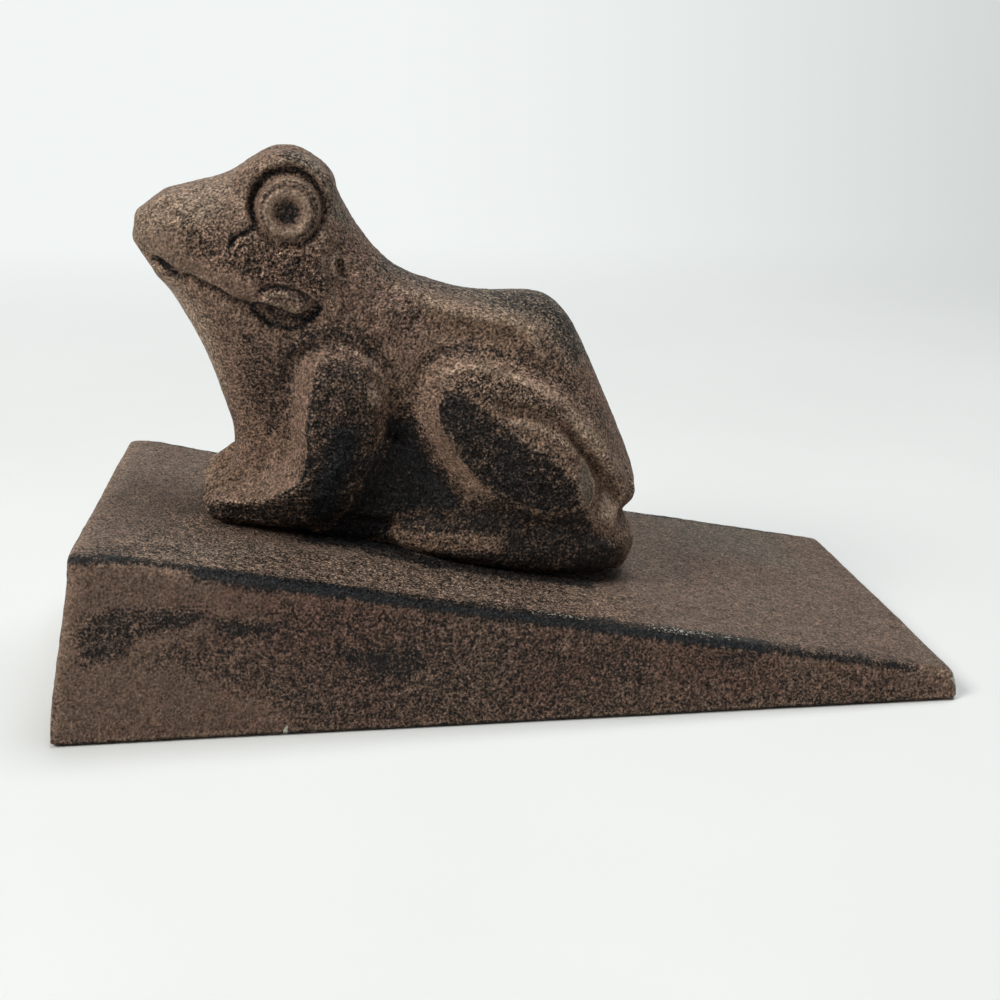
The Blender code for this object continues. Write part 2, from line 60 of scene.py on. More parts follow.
ahead = Vector((
    math.sin(VIEW_YAW) * math.cos(VIEW_PITCH),
    math.cos(VIEW_YAW) * math.cos(VIEW_PITCH),
    -math.sin(VIEW_PITCH),
))
level_right = Vector((math.cos(VIEW_YAW), -math.sin(VIEW_YAW), 0))
level_up = level_right.cross(ahead)
view_right = level_right * math.cos(VIEW_ROLL) + level_up * math.sin(VIEW_ROLL)
view_up = level_up * math.cos(VIEW_ROLL) - level_right * math.sin(VIEW_ROLL)

camera = bpy.data.objects.new("camera", bpy.data.cameras.new("camera"))
camera.data.sensor_width = FILM_WIDTH
camera.data.lens = FOCAL_LENGTH
camera.data.clip_start = 0.01
turn = Matrix((view_right, view_up, -ahead)).transposed().to_4x4()
camera.matrix_world = Matrix.Translation(VIEW_PLACE) @ turn
scene.collection.objects.link(camera)
scene.camera = camera


# The table and its backdrop: one sheet of pale paper that lies flat under the wedge and curves up behind it.
# It is only the surroundings, with soft light from above, the front and the left.
PAPER_COLOUR = (0.89, 0.91, 0.89)
PAPER_BOUNCE = (0.50, 0.50, 0.49)
PAPER_ROUGHNESS = 0.75
FIBRE_SCALE = 9.0
FIBRE_CONTRAST = (0.3, 0.7)
FIBRE_SHADE = 0.97
# behind the wedge the paper glows pale to the camera, with painted shade that darkens it towards the right
WALL_LEFT = (0.885, 0.915, 0.905)
WALL_PAINTED_SHADE = (0.53, 0.56, 0.55)
WALL_SPREAD = (-0.05, 0.85)
WALL_RISE = (0.12, 0.60)
PAPER_DROP = 0.05 * MM
PAPER_HALF_WIDTH = 3.0
PAPER_NEAR = -3.0
PAPER_BEND_START = 0.75
PAPER_BEND_RADIUS = 0.8
PAPER_BEND_STEPS = 24
PAPER_TOP = 3.0
LAMP_AIM = (0, 0, 0.02)
ROOM_COLOUR = (0.93, 0.96, 1.0)
ROOM_STRENGTH = 0.08


class Wire:
    """One socket of a material's nodes. Sums and products of wires and numbers add their Math nodes."""

    def __init__(self, nodes, socket=None):
        self.nodes = nodes
        self.socket = socket

    def node(self, kind, settings=None, inputs=None, output=0):
        """Adds a node, with its settings first and then the values or wires of its sockets."""
        made = self.nodes.new(kind)
        for name, value in (settings or {}).items():
            setattr(made, name, value)
        for name, value in (inputs or {}).items():
            socket = made.inputs[name]
            if isinstance(value, Wire):
                self.nodes.id_data.links.new(value.socket, socket)
            elif socket.type == "RGBA":
                socket.default_value = (*value, 1)
            else:
                socket.default_value = value
        return Wire(self.nodes, made.outputs[output])

    def maths(self, operation, *others):
        return self.node("ShaderNodeMath", {"operation": operation}, dict(enumerate((self, *others))))

    def __add__(self, other):
        return self.maths("ADD", other)

    def __sub__(self, other):
        return self.maths("SUBTRACT", other)

    def __rsub__(self, other):
        return self.node("ShaderNodeMath", {"operation": "SUBTRACT"}, {0: other, 1: self})

    def __mul__(self, other):
        return self.maths("MULTIPLY", other)

    def __truediv__(self, other):
        return self.maths("DIVIDE", other)

    __radd__ = __add__
    __rmul__ = __mul__

    def step(self, low, high):
        """0 below low, 1 above high and a smooth rise between them."""
        return self.node("ShaderNodeMapRange", {"interpolation_type": "SMOOTHSTEP"},
                         {"Value": self, "From Min": low, "From Max": high})

    def times_colour(self, colour):
        """A colour made darker or lighter by this wire."""
        return self.node("ShaderNodeVectorMath", {"operation": "SCALE"}, {0: colour, 3: self})

    def colour(self, low, high):
        """The colour low where this wire is 0 and high where it is 1."""
        return self.node("ShaderNodeMix", {"data_type": "RGBA"}, {0: self, 6: low, 7: high}, output=2)


def new_finish(name):
    """An empty material: the material, a wire to build from, and the shader that it ends in."""
    made = bpy.data.materials.new(name)
    made.use_nodes = True
    nodes = made.node_tree.nodes
    return made, Wire(nodes), nodes["Principled BSDF"]


def feed(shader, **sockets):
    """Links wires to the shader's sockets, or sets their values."""
    for name, value in sockets.items():
        socket = shader.inputs[name.replace("_", " ")]
        if isinstance(value, Wire):
            shader.id_data.links.new(value.socket, socket)
        else:
            socket.default_value = value


def paper_finish():
    made, start, shader = new_finish("pale_paper")
    place = start.node("ShaderNodeTexCoord", output="Object")
    fibres = start.node("ShaderNodeTexNoise", None, {"Vector": place, "Scale": FIBRE_SCALE, "Detail": 4.0})
    shade = fibres.step(*FIBRE_CONTRAST).colour([c * FIBRE_SHADE for c in PAPER_COLOUR], PAPER_COLOUR)
    seen = start.node("ShaderNodeLightPath", output="Is Camera Ray")
    for way in ("Is Glossy Ray", "Is Transmission Ray"):
        seen = seen.maths("MAXIMUM", start.node("ShaderNodeLightPath", output=way))
    feed(shader, Base_Color=seen.colour(PAPER_BOUNCE, shade), Roughness=PAPER_ROUGHNESS)

    back = start.node("ShaderNodeSeparateXYZ", None, {0: place}, output="Y")
    across = start.node("ShaderNodeSeparateXYZ", None, {0: place}, output="X")
    # the wall's glow, with painted shade that grows towards the right
    wall_shade_fade = (across / (back - VIEW_PLACE.y)).step(*WALL_SPREAD)
    glow = start.node("ShaderNodeEmission", None, {"Color": wall_shade_fade.colour(WALL_LEFT, WALL_PAINTED_SHADE)})
    share = seen * back.step(*WALL_RISE)
    lit_paper = Wire(start.nodes, shader.outputs[0])
    surface = start.node("ShaderNodeMixShader", None, {0: share, 1: lit_paper, 2: glow})
    made.node_tree.links.new(surface.socket, start.nodes["Material Output"].inputs["Surface"])
    return made


def paper_sheet():
    profile = [(PAPER_NEAR, 0.0), (PAPER_BEND_START, 0.0)]
    for i in range(1, PAPER_BEND_STEPS + 1):
        angle = math.pi / 2 * i / PAPER_BEND_STEPS
        profile.append((PAPER_BEND_START + PAPER_BEND_RADIUS * math.sin(angle),
                        PAPER_BEND_RADIUS * (1 - math.cos(angle))))
    profile.append((PAPER_BEND_START + PAPER_BEND_RADIUS, PAPER_TOP))
    points = [(side * PAPER_HALF_WIDTH, y, z - PAPER_DROP) for y, z in profile for side in (-1, 1)]
    faces = [(2 * i, 2 * i + 1, 2 * i + 3, 2 * i + 2) for i in range(len(profile) - 1)]
    mesh = bpy.data.meshes.new("paper")
    mesh.from_pydata(points, [], faces)
    mesh.shade_smooth()
    mesh.materials.append(paper_finish())
    sheet = bpy.data.objects.new("paper", mesh)
    scene.collection.objects.link(sheet)
    return sheet


def soft_lamp(name, place, width, power, colour):
    lamp = bpy.data.objects.new(name, bpy.data.lights.new(name, "AREA"))
    lamp.data.shape = "DISK"
    lamp.data.size = width
    lamp.data.energy = power
    lamp.data.color = colour
    lamp.location = place
    lamp.rotation_euler = (Vector(LAMP_AIM) - Vector(place)).to_track_quat("-Z", "Y").to_euler()
    scene.collection.objects.link(lamp)


paper_sheet()
soft_lamp("window", place=(-0.88, -0.42, 0.88), width=0.55, power=10.5, colour=(1.0, 0.975, 0.94))
soft_lamp("ceiling", place=(0.25, 0.10, 1.30), width=0.8, power=10.5, colour=(0.96, 0.985, 1.0))

room = bpy.data.worlds.new("room")
room.use_nodes = True
room.node_tree.nodes["Background"].inputs["Color"].default_value = (*ROOM_COLOUR, 1)
room.node_tree.nodes["Background"].inputs["Strength"].default_value = ROOM_STRENGTH
scene.world = room


# The wedge: one sand casting of grey iron, open underneath, with a thin rust-brown coat and worn black paint.
# The pattern draws upwards, so its sides and ends lean in. Its edges are rubbed round, and its skin shows
# the sand of the mould.
WEDGE_SKIN_STEP = 0.55 * MM
WEDGE_SOFTENING = 5
WEDGE_WAVE = 22 * MM
WEDGE_WAVE_HEIGHT = 0.16 * MM
SAND_LUMP = 2.2 * MM
SAND_LUMP_HEIGHT = 0.07 * MM
CREASE_PASSES = 14
EDGE_SHARPNESS = 0.22 * MM
# the sizes in the iron's finish, from its finest dust to the slow drift of its colour
DUST_SIZE = 0.19 * MM
GRAIN_SIZE = 0.42 * MM
SPECK_SIZE = 1.3 * MM
PATCH_SIZE = 4.5 * MM
DRIFT_SIZE = 22.0 * MM
GRAIN_HEIGHT = 0.055 * MM
NOISE_GAIN = 12.5
NOISE_ROUGHNESS = 0.6
CELL_SOFTNESS = 0.35
CELL_MEAN = 0.52
CELL_HEIGHT = 2.6
RED_DRIFT = (-1.2, 1.2)
GLOSS_EDGE = (0.2, 0.6)
CHIP_EDGE = (0.5, 0.62)
DARK_COVER_CONTRAST = 0.42
DARKEST_GRAIN = 0.12
GRAIN_POWER = 2.2
COAT_ROUGHNESS = 0.64
COAT_SPECULAR = 0.25


def finely_skinned(mesh, step):
    """A copy of a closed mesh with even, fine faces."""
    guide = bpy.data.objects.new("guide", mesh.copy())
    scene.collection.objects.link(guide)
    remesh = guide.modifiers.new("fine skin", "REMESH")
    remesh.mode = "VOXEL"
    remesh.voxel_size = step
    graph = bpy.context.evaluated_depsgraph_get()
    mesh = bpy.data.meshes.new_from_object(guide.evaluated_get(graph))
    bpy.data.objects.remove(guide)
    return mesh


def read_points(mesh):
    points = np.empty(len(mesh.vertices) * 3, np.float32)
    mesh.vertices.foreach_get("co", points)
    return points.reshape(-1, 3).astype(float)


def write_points(mesh, points):
    mesh.vertices.foreach_set("co", points.astype(np.float32).ravel())
    mesh.update()


def read_normals(mesh):
    normals = np.empty(len(mesh.vertices) * 3, np.float32)
    mesh.vertex_normals.foreach_get("vector", normals)
    return normals.reshape(-1, 3).astype(float)


def relaxed(mesh, values, passes):
    """Values at the points, each moved halfway to its neighbours' mean in every pass."""
    ends = np.empty(len(mesh.edges) * 2, np.int32)
    mesh.edges.foreach_get("vertices", ends)
    a, b = ends.reshape(-1, 2).T
    count = len(mesh.vertices)
    near = np.bincount(a, minlength=count) + np.bincount(b, minlength=count)
    values = np.asarray(values, float).reshape(count, -1).copy()
    for _ in range(passes):
        for column in range(values.shape[1]):
            value = values[:, column]
            total = np.bincount(a, value[b], count) + np.bincount(b, value[a], count)
            values[:, column] = 0.5 * value + 0.5 * total / near
    return values


def noise_at(points, size, octaves=3):
    """Smooth noise over the points, about -1 to 1, with lumps of the given size."""
    return np.array([noise.fractal(p, 1.0, 2.0, octaves) for p in map(Vector, (points / size).tolist())])


def smooth_step(value, low, high):
    t = np.clip((value - low) / (high - low), 0, 1)
    return t * t * (3 - 2 * t)


def add_mask(mesh, name, values):
    """Keeps one number for each point, which the finish reads by its name."""
    mask = mesh.attributes.new(name, "FLOAT", "POINT")
    mask.data.foreach_set("value", np.clip(values, 0, 1).astype(np.float32))


def edges_and_hollows(mesh, points):
    """How far each point stands out from the smoothed skin and how deep it lies below it, both from 0 to 1."""
    smoothed = relaxed(mesh, points, CREASE_PASSES)
    height = np.einsum("ij,ij->i", points - smoothed, read_normals(mesh))
    return smooth_step(height, 0, EDGE_SHARPNESS), smooth_step(-height, 0, EDGE_SHARPNESS)


def place_piece(name, mesh, finish, node):
    """Puts a finished mesh in the scene in place of a CAD node."""
    mesh.materials.clear()
    mesh.materials.append(finish)
    mesh.shade_smooth()
    piece = bpy.data.objects.new(name, mesh)
    scene.collection.objects.link(piece)
    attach(piece, "root")
    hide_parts(node)
    return piece


def iron_finish(name, coat, red_coat, rubbed_and_lit, green_and_sheen, contrast):
    """Rust-brown coat on sand-cast iron: black paint and painted shade in its hollows, and its high spots rubbed
    lighter and painted with highlights.
    """
    made, start, shader = new_finish(name)
    place = start.node("ShaderNodeTexCoord", output="Object")

    def level(size, detail=2.0):
        """Noise with lumps of a size, as a height around 0 that is seldom above 2 or below -2."""
        plain = start.node("ShaderNodeTexNoise", None,
                           {"Vector": place, "Scale": 1 / size, "Detail": detail, "Roughness": NOISE_ROUGHNESS})
        return (plain - 0.5) * NOISE_GAIN

    def mask(attribute):
        return start.node("ShaderNodeAttribute", {"attribute_name": attribute}, output="Fac")

    cells = start.node("ShaderNodeTexVoronoi", {"feature": "SMOOTH_F1"},
                       {"Vector": place, "Scale": 1 / GRAIN_SIZE, "Smoothness": CELL_SOFTNESS})
    grain = (CELL_MEAN - cells) * CELL_HEIGHT + level(GRAIN_SIZE) * 0.85
    specks = level(SPECK_SIZE, 3.0)
    dust = level(DUST_SIZE, 1.0)
    patches = level(PATCH_SIZE, 4.0)
    drift = level(DRIFT_SIZE, 3.0)
    paint_and_shade = mask("paint_and_shade")
    rough = mask("rough")

    # the coat: brown that drifts to red, greened by age and by a painted sheen in places, and lighter where hands
    # have rubbed it and where highlights are painted
    tone = (drift * 0.8 + patches * 0.5).step(*RED_DRIFT).colour(coat, red_coat)
    tone = mask("green_and_sheen").colour(tone, green_and_sheen)
    # how far the coat is rubbed lighter, with painted highlights on the faces that the light falls on
    high = mask("wear_and_highlight")
    tone = high.colour(tone, rubbed_and_lit)

    # the black paint, and the painted shade that shares its colours in the hollows and under the belly: it holds best
    # in the pits, and keeps its gloss where it is thickest
    cover = paint_and_shade * 1.25 - 0.12 + patches * 0.09 - grain * 0.07 - specks * 0.05
    paint_and_shade_cover = cover.step(0.0, 1.0)
    tone = paint_and_shade_cover.colour(tone, DARK_PAINT_AND_SHADE)
    glossy = (paint_and_shade * 1.6 - 1.0 - grain * 0.06).step(*GLOSS_EDGE)
    tone = glossy.colour(tone, BLACK_PAINT_AND_SHADE)

    # light and dark grains, and bright metal where an edge is chipped, which also stands in for painted glints
    shade = grain + dust * rough * rough * 0.7 + specks * 0.35 + patches * 0.2
    shade = shade * ((rough + 0.65) * contrast + paint_and_shade_cover * DARK_COVER_CONTRAST)
    grains = (shade * 0.45 + 1.0).maths("MAXIMUM", DARKEST_GRAIN).maths("POWER", GRAIN_POWER)
    tone = grains.times_colour(tone)
    chipped_and_glinting = (mask("bare_and_glint") + grain * 0.16).step(*CHIP_EDGE)
    tone = chipped_and_glinting.colour(tone, BARE_IRON_GLINT)

    height = grain * (rough * 1.1 + 0.6) + specks * (rough * rough * 3.5 + 0.4) + dust * rough * 0.2
    bump = start.node("ShaderNodeBump", None, {"Strength": 1.0, "Distance": GRAIN_HEIGHT, "Height": height})
    feed(
        shader,
        Base_Color=tone,
        Roughness=COAT_ROUGHNESS - paint_and_shade_cover * 0.04 - glossy * 0.24 - high * 0.06 - chipped_and_glinting * 0.2,
        Metallic=chipped_and_glinting * 0.6,
        Specular_IOR_Level=COAT_SPECULAR,
        Normal=bump,
    )
    return made


def line_distance(spots, line, closed=False):
    """How far each spot is from a line, and how far along the line its nearest point is."""
    ends = line + line[:1] if closed else line
    nearest = np.full(len(spots), np.inf)
    along = np.zeros(len(spots))
    travelled = 0.0
    for start, end in zip(ends, ends[1:]):
        start = np.array(start[:2], float)
        run = np.array(end[:2], float) - start
        length = math.hypot(*run)
        share = np.clip((spots - start) @ run / length ** 2, 0, 1)
        gap = np.hypot(*(spots - start - share[:, None] * run).T)
        closer = gap < nearest
        nearest = np.where(closer, gap, nearest)
        along = np.where(closer, travelled + share * length, along)
        travelled += length
    return nearest, along, travelled


def inside(spots, ring):
    """True for the spots within a closed ring."""
    within = np.zeros(len(spots), bool)
    x, z = spots.T
    for (x0, z0), (x1, z1) in zip(ring, ring[1:] + ring[:1]):
        if z0 != z1:
            crosses = ((z0 > z) != (z1 > z)) & (x < (x1 - x0) * (z - z0) / (z1 - z0) + x0)
            within ^= crosses
    return within


def soft_inside(spots, ring, softness):
    """1 well within a ring, 0 well outside it and 0.5 on it."""
    gap = line_distance(spots, ring, True)[0]
    return smooth_step(np.where(inside(spots, ring), gap, -gap), -softness, softness)


def stroke(spots, line, half_width, taper=0.0):
    """A soft line: 1 along its middle and 0 from half a width away, and fading over its tapered ends."""
    gap, along, length = line_distance(spots, line)
    strength = 0.5 + 0.5 * np.cos(math.pi * np.clip(gap / half_width, 0, 1))
    if taper:
        strength *= smooth_step(np.minimum(along, length - along), -0.2 * taper, taper)
    return strength


def marked(spots, areas, lines):
    """The strongest mark at each spot: rings have a softness, lines a half width, and both a strength."""
    most = np.zeros(len(spots))
    for ring, softness, strength in areas:
        most = np.maximum(most, strength * soft_inside(spots, [p[:2] for p in ring], softness))
    for line, half_width, strength in lines:
        most = np.maximum(most, strength * stroke(spots, [p[:2] for p in line], half_width))
    return most


# the thick end, in millimetres: how far it bulges at heights above the floor, and the share of that at places
# across it; how far its top corner on the right is lifted; and how far the lower edges are flared
END_BULGE = [(0, 0.3), (3, 0.55), (8, 0.9), (20, 1.0), (26, 1.25), (29, 1.8), (31, 2.4)]
END_ACROSS = [(-33.5, 0.9), (-28, 1.0), (-18, 1.0), (0, 0.75), (20, 0.5), (33, 0.4)]
BULGE_START = (62, 71)
END_LIFT = 0.7
LIFT_ALONG = (50, 66)
LIFT_ACROSS = (-25, 30)
LIFT_UP = (15, 25)
EDGE_FLARE = 0.5
FLARE_UP = (0.4, 1.8)
FLARE_ASIDE = (29, 32)
FLARE_AHEAD = (70, 73)


def bulged_end(points):
    """Bulges the thick end and flares the lower edges, as the casting has them."""
    x, y, z = points.T / MM
    bulge = np.interp(y, *zip(*END_ACROSS)) * np.interp(z, *zip(*END_BULGE)) * smooth_step(-x, *BULGE_START)
    lift = END_LIFT * smooth_step(-x, *LIFT_ALONG) * smooth_step(y, *LIFT_ACROSS) * smooth_step(z, *LIFT_UP)
    low = EDGE_FLARE * (1 - smooth_step(z, *FLARE_UP))
    aside = low * smooth_step(np.abs(y), *FLARE_ASIDE) * np.sign(y)
    ahead = low * smooth_step(-x, *FLARE_AHEAD)
    return points + MM * np.column_stack((-bulge - ahead, aside, lift))


def wedge_mesh():
    mesh = finely_skinned(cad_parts["wedge_base"].data, WEDGE_SKIN_STEP)
    mesh.name = "door_wedge"
    low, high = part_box("wedge_base")
    points = bulged_end(relaxed(mesh, read_points(mesh), WEDGE_SOFTENING))
    write_points(mesh, points)
    sharp, hollow = edges_and_hollows(mesh, points)
    wave = noise_at(points, WEDGE_WAVE, 2) * WEDGE_WAVE_HEIGHT
    lumps = noise_at(points, SAND_LUMP, 3) * SAND_LUMP_HEIGHT
    points += read_normals(mesh) * (wave + lumps)[:, None]
    write_points(mesh, np.clip(points, low, high))
    normals = read_normals(mesh)
    x, y, z = points.T / MM
    seen_aside = np.column_stack((x, z))
    seen_from_above = np.column_stack((x, y))
    seen_from_end = np.column_stack((END_PAINT_START - y, z))
    on_side = smooth_step(np.abs(normals[:, 1]), *SIDE_FACING)
    on_top = 1 - on_side
    near_edge = smooth_step(np.abs(y), *EDGE_STRIP)
    side_paint_and_shadow = marked(seen_aside, SIDE_PAINT, SIDE_PAINT_AND_SHADOW_LINES)
    top_paint_and_shadow = marked(seen_from_above, TOP_PAINT_AND_SHADOW, [])
    top_rough = marked(seen_from_above, TOP_ROUGH, [])
    edge_paint = marked(seen_aside, [], EDGE_PAINT_LINES) * near_edge
    end_paint = marked(seen_from_end, SIDE_PAINT[:4], []) * smooth_step(np.abs(normals[:, 0]), *END_FACING)
    full_side_paint_and_shadow = np.maximum(PLAIN_SIDE_PAINT, side_paint_and_shadow)
    full_top_paint_and_shade = np.maximum(PLAIN_TOP_PAINT + HOLLOW_PAINT_AND_SHADE * hollow, top_paint_and_shadow)
    paint_and_shade = np.where(on_side > 0.5, full_side_paint_and_shadow, full_top_paint_and_shade)
    add_mask(mesh, "paint_and_shade", np.maximum(np.maximum(paint_and_shade, edge_paint), end_paint))

    worn_side = SIDE_WEAR + STRETCH_WEAR * smooth_step(x, *WORN_STRETCH)
    wear_and_highlight = PLAIN_WEAR + ROUGH_TOP_WEAR * top_rough * on_top + worn_side * on_side
    wear_and_highlight += EDGE_WEAR * sharp - PAINT_COVERS_WEAR * edge_paint
    add_mask(mesh, "wear_and_highlight", wear_and_highlight)
    # grey-green on the top, partly aged coat and partly a painted sheen of the sky on faces that look up
    green_and_sheen = PLAIN_GREEN_AND_SHEEN + PATCH_GREEN_AND_SHEEN * marked(seen_from_above, TOP_GREEN_AND_SHEEN, [])
    add_mask(mesh, "green_and_sheen", green_and_sheen * on_top * smooth_step(normals[:, 2], *TOP_FACING))
    add_mask(mesh, "bare_and_glint", marked(seen_aside, [], BARE_AND_GLINT_LINES) * near_edge)
    calm = (1 - smooth_step(x, *CALM_STRETCH)) * (1 - side_paint_and_shadow)
    rough = PLAIN_ROUGH + (0.8 * top_paint_and_shadow + 0.5 * top_rough) * on_top
    rough += (PAINTED_ROUGH * side_paint_and_shadow - CALM_SMOOTH * calm) * on_side + PAINTED_ROUGH * end_paint
    add_mask(mesh, "rough", rough)
    return mesh


# how far a face turns towards the side, the ends or the top before it takes their finish
SIDE_FACING = (0.35, 0.75)
END_FACING = (0.5, 0.85)
TOP_FACING = (0.15, 0.5)
# where the strip along the edges starts, where the side is worn and where it is calm, in millimetres
EDGE_STRIP = (29.5, 31.5)
WORN_STRETCH = (30, 70)
CALM_STRETCH = (-50, -25)
END_PAINT_START = -37.0
# how much paint, wear, green and roughness the plain skin has, and what its hollows, edges and patches add; the
# hollows add painted shade along with paint, and the green is partly a painted sheen
PLAIN_SIDE_PAINT = 0.06
PLAIN_TOP_PAINT = 0.10
HOLLOW_PAINT_AND_SHADE = 0.25
PLAIN_WEAR = 0.14
ROUGH_TOP_WEAR = 0.28
SIDE_WEAR = 0.02
STRETCH_WEAR = 0.2
EDGE_WEAR = 0.45
PAINT_COVERS_WEAR = 0.3
PLAIN_GREEN_AND_SHEEN = 0.35
PATCH_GREEN_AND_SHEEN = 0.6
PLAIN_ROUGH = 0.35
PAINTED_ROUGH = 0.4
CALM_SMOOTH = 0.33
# The paint that is left, and painted shadow by the floor and under the frog, in millimetres along the wedge and
# up from the floor or across it. A ring has its softness and its strength, and a line its half width and its
# strength.
SIDE_PAINT = [
    ([(-69.6, 18.3), (-68.0, 21.3), (-64.0, 22.6), (-57.4, 22.8), (-49.8, 22.2), (-48.8, 19.6), (-54.2, 18.6),
      (-59.9, 17.8), (-62.3, 14.5), (-68.8, 13.6)], 1.4, 0.66),
    ([(-60.0, 22.2), (-50.5, 21.8), (-49.6, 20.0), (-58.0, 19.4)], 1.4, 0.92),
    ([(-49.3, 20.4), (-41.2, 19.8), (-37.6, 18.8), (-39.2, 17.0), (-46.9, 16.6)], 1.2, 0.84),
    ([(-33.0, 15.4), (-29.0, 15.6), (-24.0, 14.2), (-20.0, 14.6), (-16.0, 13.6), (-16.0, 10.0), (-19.0, 8.6),
      (-24.0, 8.6), (-28.0, 11.0)], 1.2, 0.78),
    ([(31.4, 13.0), (35.4, 12.8), (39.5, 11.0), (39.2, 8.4), (35.8, 7.2), (32.2, 8.2)], 0.8, 0.60),
    ([(-59.8, 14.3), (-49.2, 18.8), (-38.4, 22.2), (-22.9, 22.0), (0, 17.5), (22, 13.5), (22, 0), (-36, 0), (-38, 4),
      (-44, 7.5), (-52, 10.8)], 3.0, 0.47),
    ([(22, 13.5), (40, 9.6), (56, 6.6), (70, 3.6), (70, 0), (22, 0)], 2.0, 0.36),
    ([(-75, 31), (-71.5, 31), (-74.2, 0), (-76, 0)], 0.8, 0.55),
]
SIDE_PAINT_AND_SHADOW_LINES = [
    # painted contact shadow along the foot of the sides, where they meet the floor
    ([(-74.5, 0.1), (74.5, 0.1)], 1.1, 1.0),
    ([(35.1, 1.6), (42.1, 2.4), (51.5, 0.9), (67.0, 1.0)], 1.2, 0.55),
]
EDGE_PAINT_LINES = [
    ([(-72.5, 30.6), (-62.8, 30.4), (-56.4, 29.6), (-50.0, 28.2)], 1.5, 0.92),
    ([(-50.5, 27.8), (-45.0, 26.9), (-39.5, 25.6)], 2.8, 1.0),
    ([(-42.5, 26.2), (-31.0, 24.1), (-22.9, 22.5)], 2.1, 1.10),
    ([(-24.5, 22.8), (-11.4, 20.2), (6.4, 17.0), (23.9, 13.8), (40.0, 10.9)], 2.0, 1.05),
    ([(36.0, 11.6), (48.0, 9.4), (56.0, 8.0), (66.4, 6.0)], 1.4, 0.85),
]
# chips of bare metal along the front edge, by the floor and at the tip, made bright as painted glints
BARE_AND_GLINT_LINES = [
    ([(1.4, 18.9), (6.0, 18.0), (11.0, 17.1)], 0.9, 0.46),
    ([(20.5, 15.3), (27.0, 14.1), (36.0, 12.4)], 0.9, 0.42),
    ([(-38.6, 0.2), (-38.2, 1.2)], 0.7, 1.4),
    ([(73.2, 4.2), (74.6, 2.4)], 1.1, 0.70),
]
TOP_PAINT_AND_SHADOW = [
    ([(-69.1, -29.0), (-54.6, -22.0), (-53.0, -27.9), (-60.6, -28.5), (-67.4, -31.6)], 1.5, 0.42),
    ([(-48, -32), (-20, -33), (10, -33), (10, -16), (-20, -17), (-46, -20)], 3.0, 0.36),
    # painted shadow on the ramp under the frog's belly
    ([(-36, -14), (-16, -14), (-16, 14), (-36, 14)], 2.0, 0.92),
    # painted shadow on the ramp along the near side of the hind foot
    ([(-25, -15.5), (-14, -18.2), (0, -18.4), (14, -17.4), (17, -12), (-25, -12)], 1.3, 0.85),
]
TOP_ROUGH = [([(-62, -34), (20, -34), (20, -18), (-38, -18), (-54, -4), (-62, -20)], 5.0, 1.0)]
# grey-green places on the top, partly aged coat and partly painted sheen
TOP_GREEN_AND_SHEEN = [
    ([(-77, -36), (-71, -36), (-70, 0), (-71, 36), (-77, 36)], 1.5, 0.9),
    ([(-56, -21), (-42, -16), (-38, -20), (-44, -28), (-54, -28)], 3.0, 0.6),
    ([(36, 34), (60, 34), (60, 10), (40, 12)], 6.0, 0.6),
]
IRON_BROWN = (0.165, 0.105, 0.076)
IRON_RED = (0.148, 0.079, 0.057)
# dark of the black paint, also used for painted shade
DARK_PAINT_AND_SHADE = (0.018, 0.014, 0.0115)
RUBBED_BROWN = (0.275, 0.185, 0.128)
# glossy black of the thickest paint, also used for painted shade
BLACK_PAINT_AND_SHADE = (0.010, 0.011, 0.013)
# grey-green of the aged coat, also used for a painted sheen
GREY_GREEN_SHEEN = (0.135, 0.128, 0.100)
# bright bare iron, which also stands in for painted glints
BARE_IRON_GLINT = (0.62, 0.58, 0.50)
place_piece(
    "door_wedge",
    wedge_mesh(),
    iron_finish("wedge_iron", IRON_BROWN, IRON_RED, RUBBED_BROWN, GREY_GREEN_SHEEN, 0.43),
    "wedge_base",
)


# The frog: one solid sand casting, made in a mould that parts down its middle and filed flat under its feet.
# Its eyes, mouth, toes and the flat cuts of its legs are carved in the pattern, the same on both sides.
# All the carving is drawn on the ramp: x down the ramp, z out from it, and the half width y, in millimetres.
FROG_SKIN_STEP = 0.42 * MM
FROG_SOFTENING = 3
CARVED_SKIN_STEP = 0.36 * MM
CARVED_SOFTENING = 2
BLEND_WIDTH = 1.2
OUTER_SKIN = 0.35

ramp_faces = [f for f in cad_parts["wedge_base"].data.polygons if f.normal.x > 0.1 and f.normal.z > 0.9]
ramp = max(ramp_faces, key=lambda face: face.area)
RAMP_SLOPE = math.asin(ramp.normal.x)
RAMP_HEIGHT = ramp.center.z + ramp.center.x * math.tan(RAMP_SLOPE)

# The cut facets of the arm and the leg: a rim seen from the side, and the lines between the facets, each point
# of a line with its half width.
ARM_RIM = [
    (-51.2, 1.0), (-46, 0.8), (-40, 0.8), (-34.6, 1.0), (-31.4, 3.2), (-28.4, 6.6), (-26.8, 11), (-26.0, 15),
    (-24.6, 18.5), (-23.4, 22), (-24.0, 27.5), (-26.4, 32), (-30.2, 34.8), (-35.5, 35.8), (-39.8, 34.4), (-43.2, 30),
    (-43.8, 23.5), (-43.1, 18), (-43.2, 13.5), (-44.4, 10), (-47.5, 7.6), (-51.5, 6.2), (-52.6, 3.8),
]
ARM_OUTLINE = [
    (-42.6, 10.0, 10.6), (-40.7, 13.2, 9.5), (-40.4, 16.7, 9.8), (-40.9, 20.0, 10.1), (-41.4, 24.8, 10.8),
    (-41.5, 28.4, 11.1), (-40.4, 31.2, 11.4), (-38.2, 33.0, 11.6), (-35.6, 33.8, 11.6), (-32.6, 33.4, 11.5),
    (-29.3, 32.0, 11.3), (-27.0, 29.6, 11.1), (-25.6, 26.8, 10.9), (-24.8, 22.4, 10.6),
]
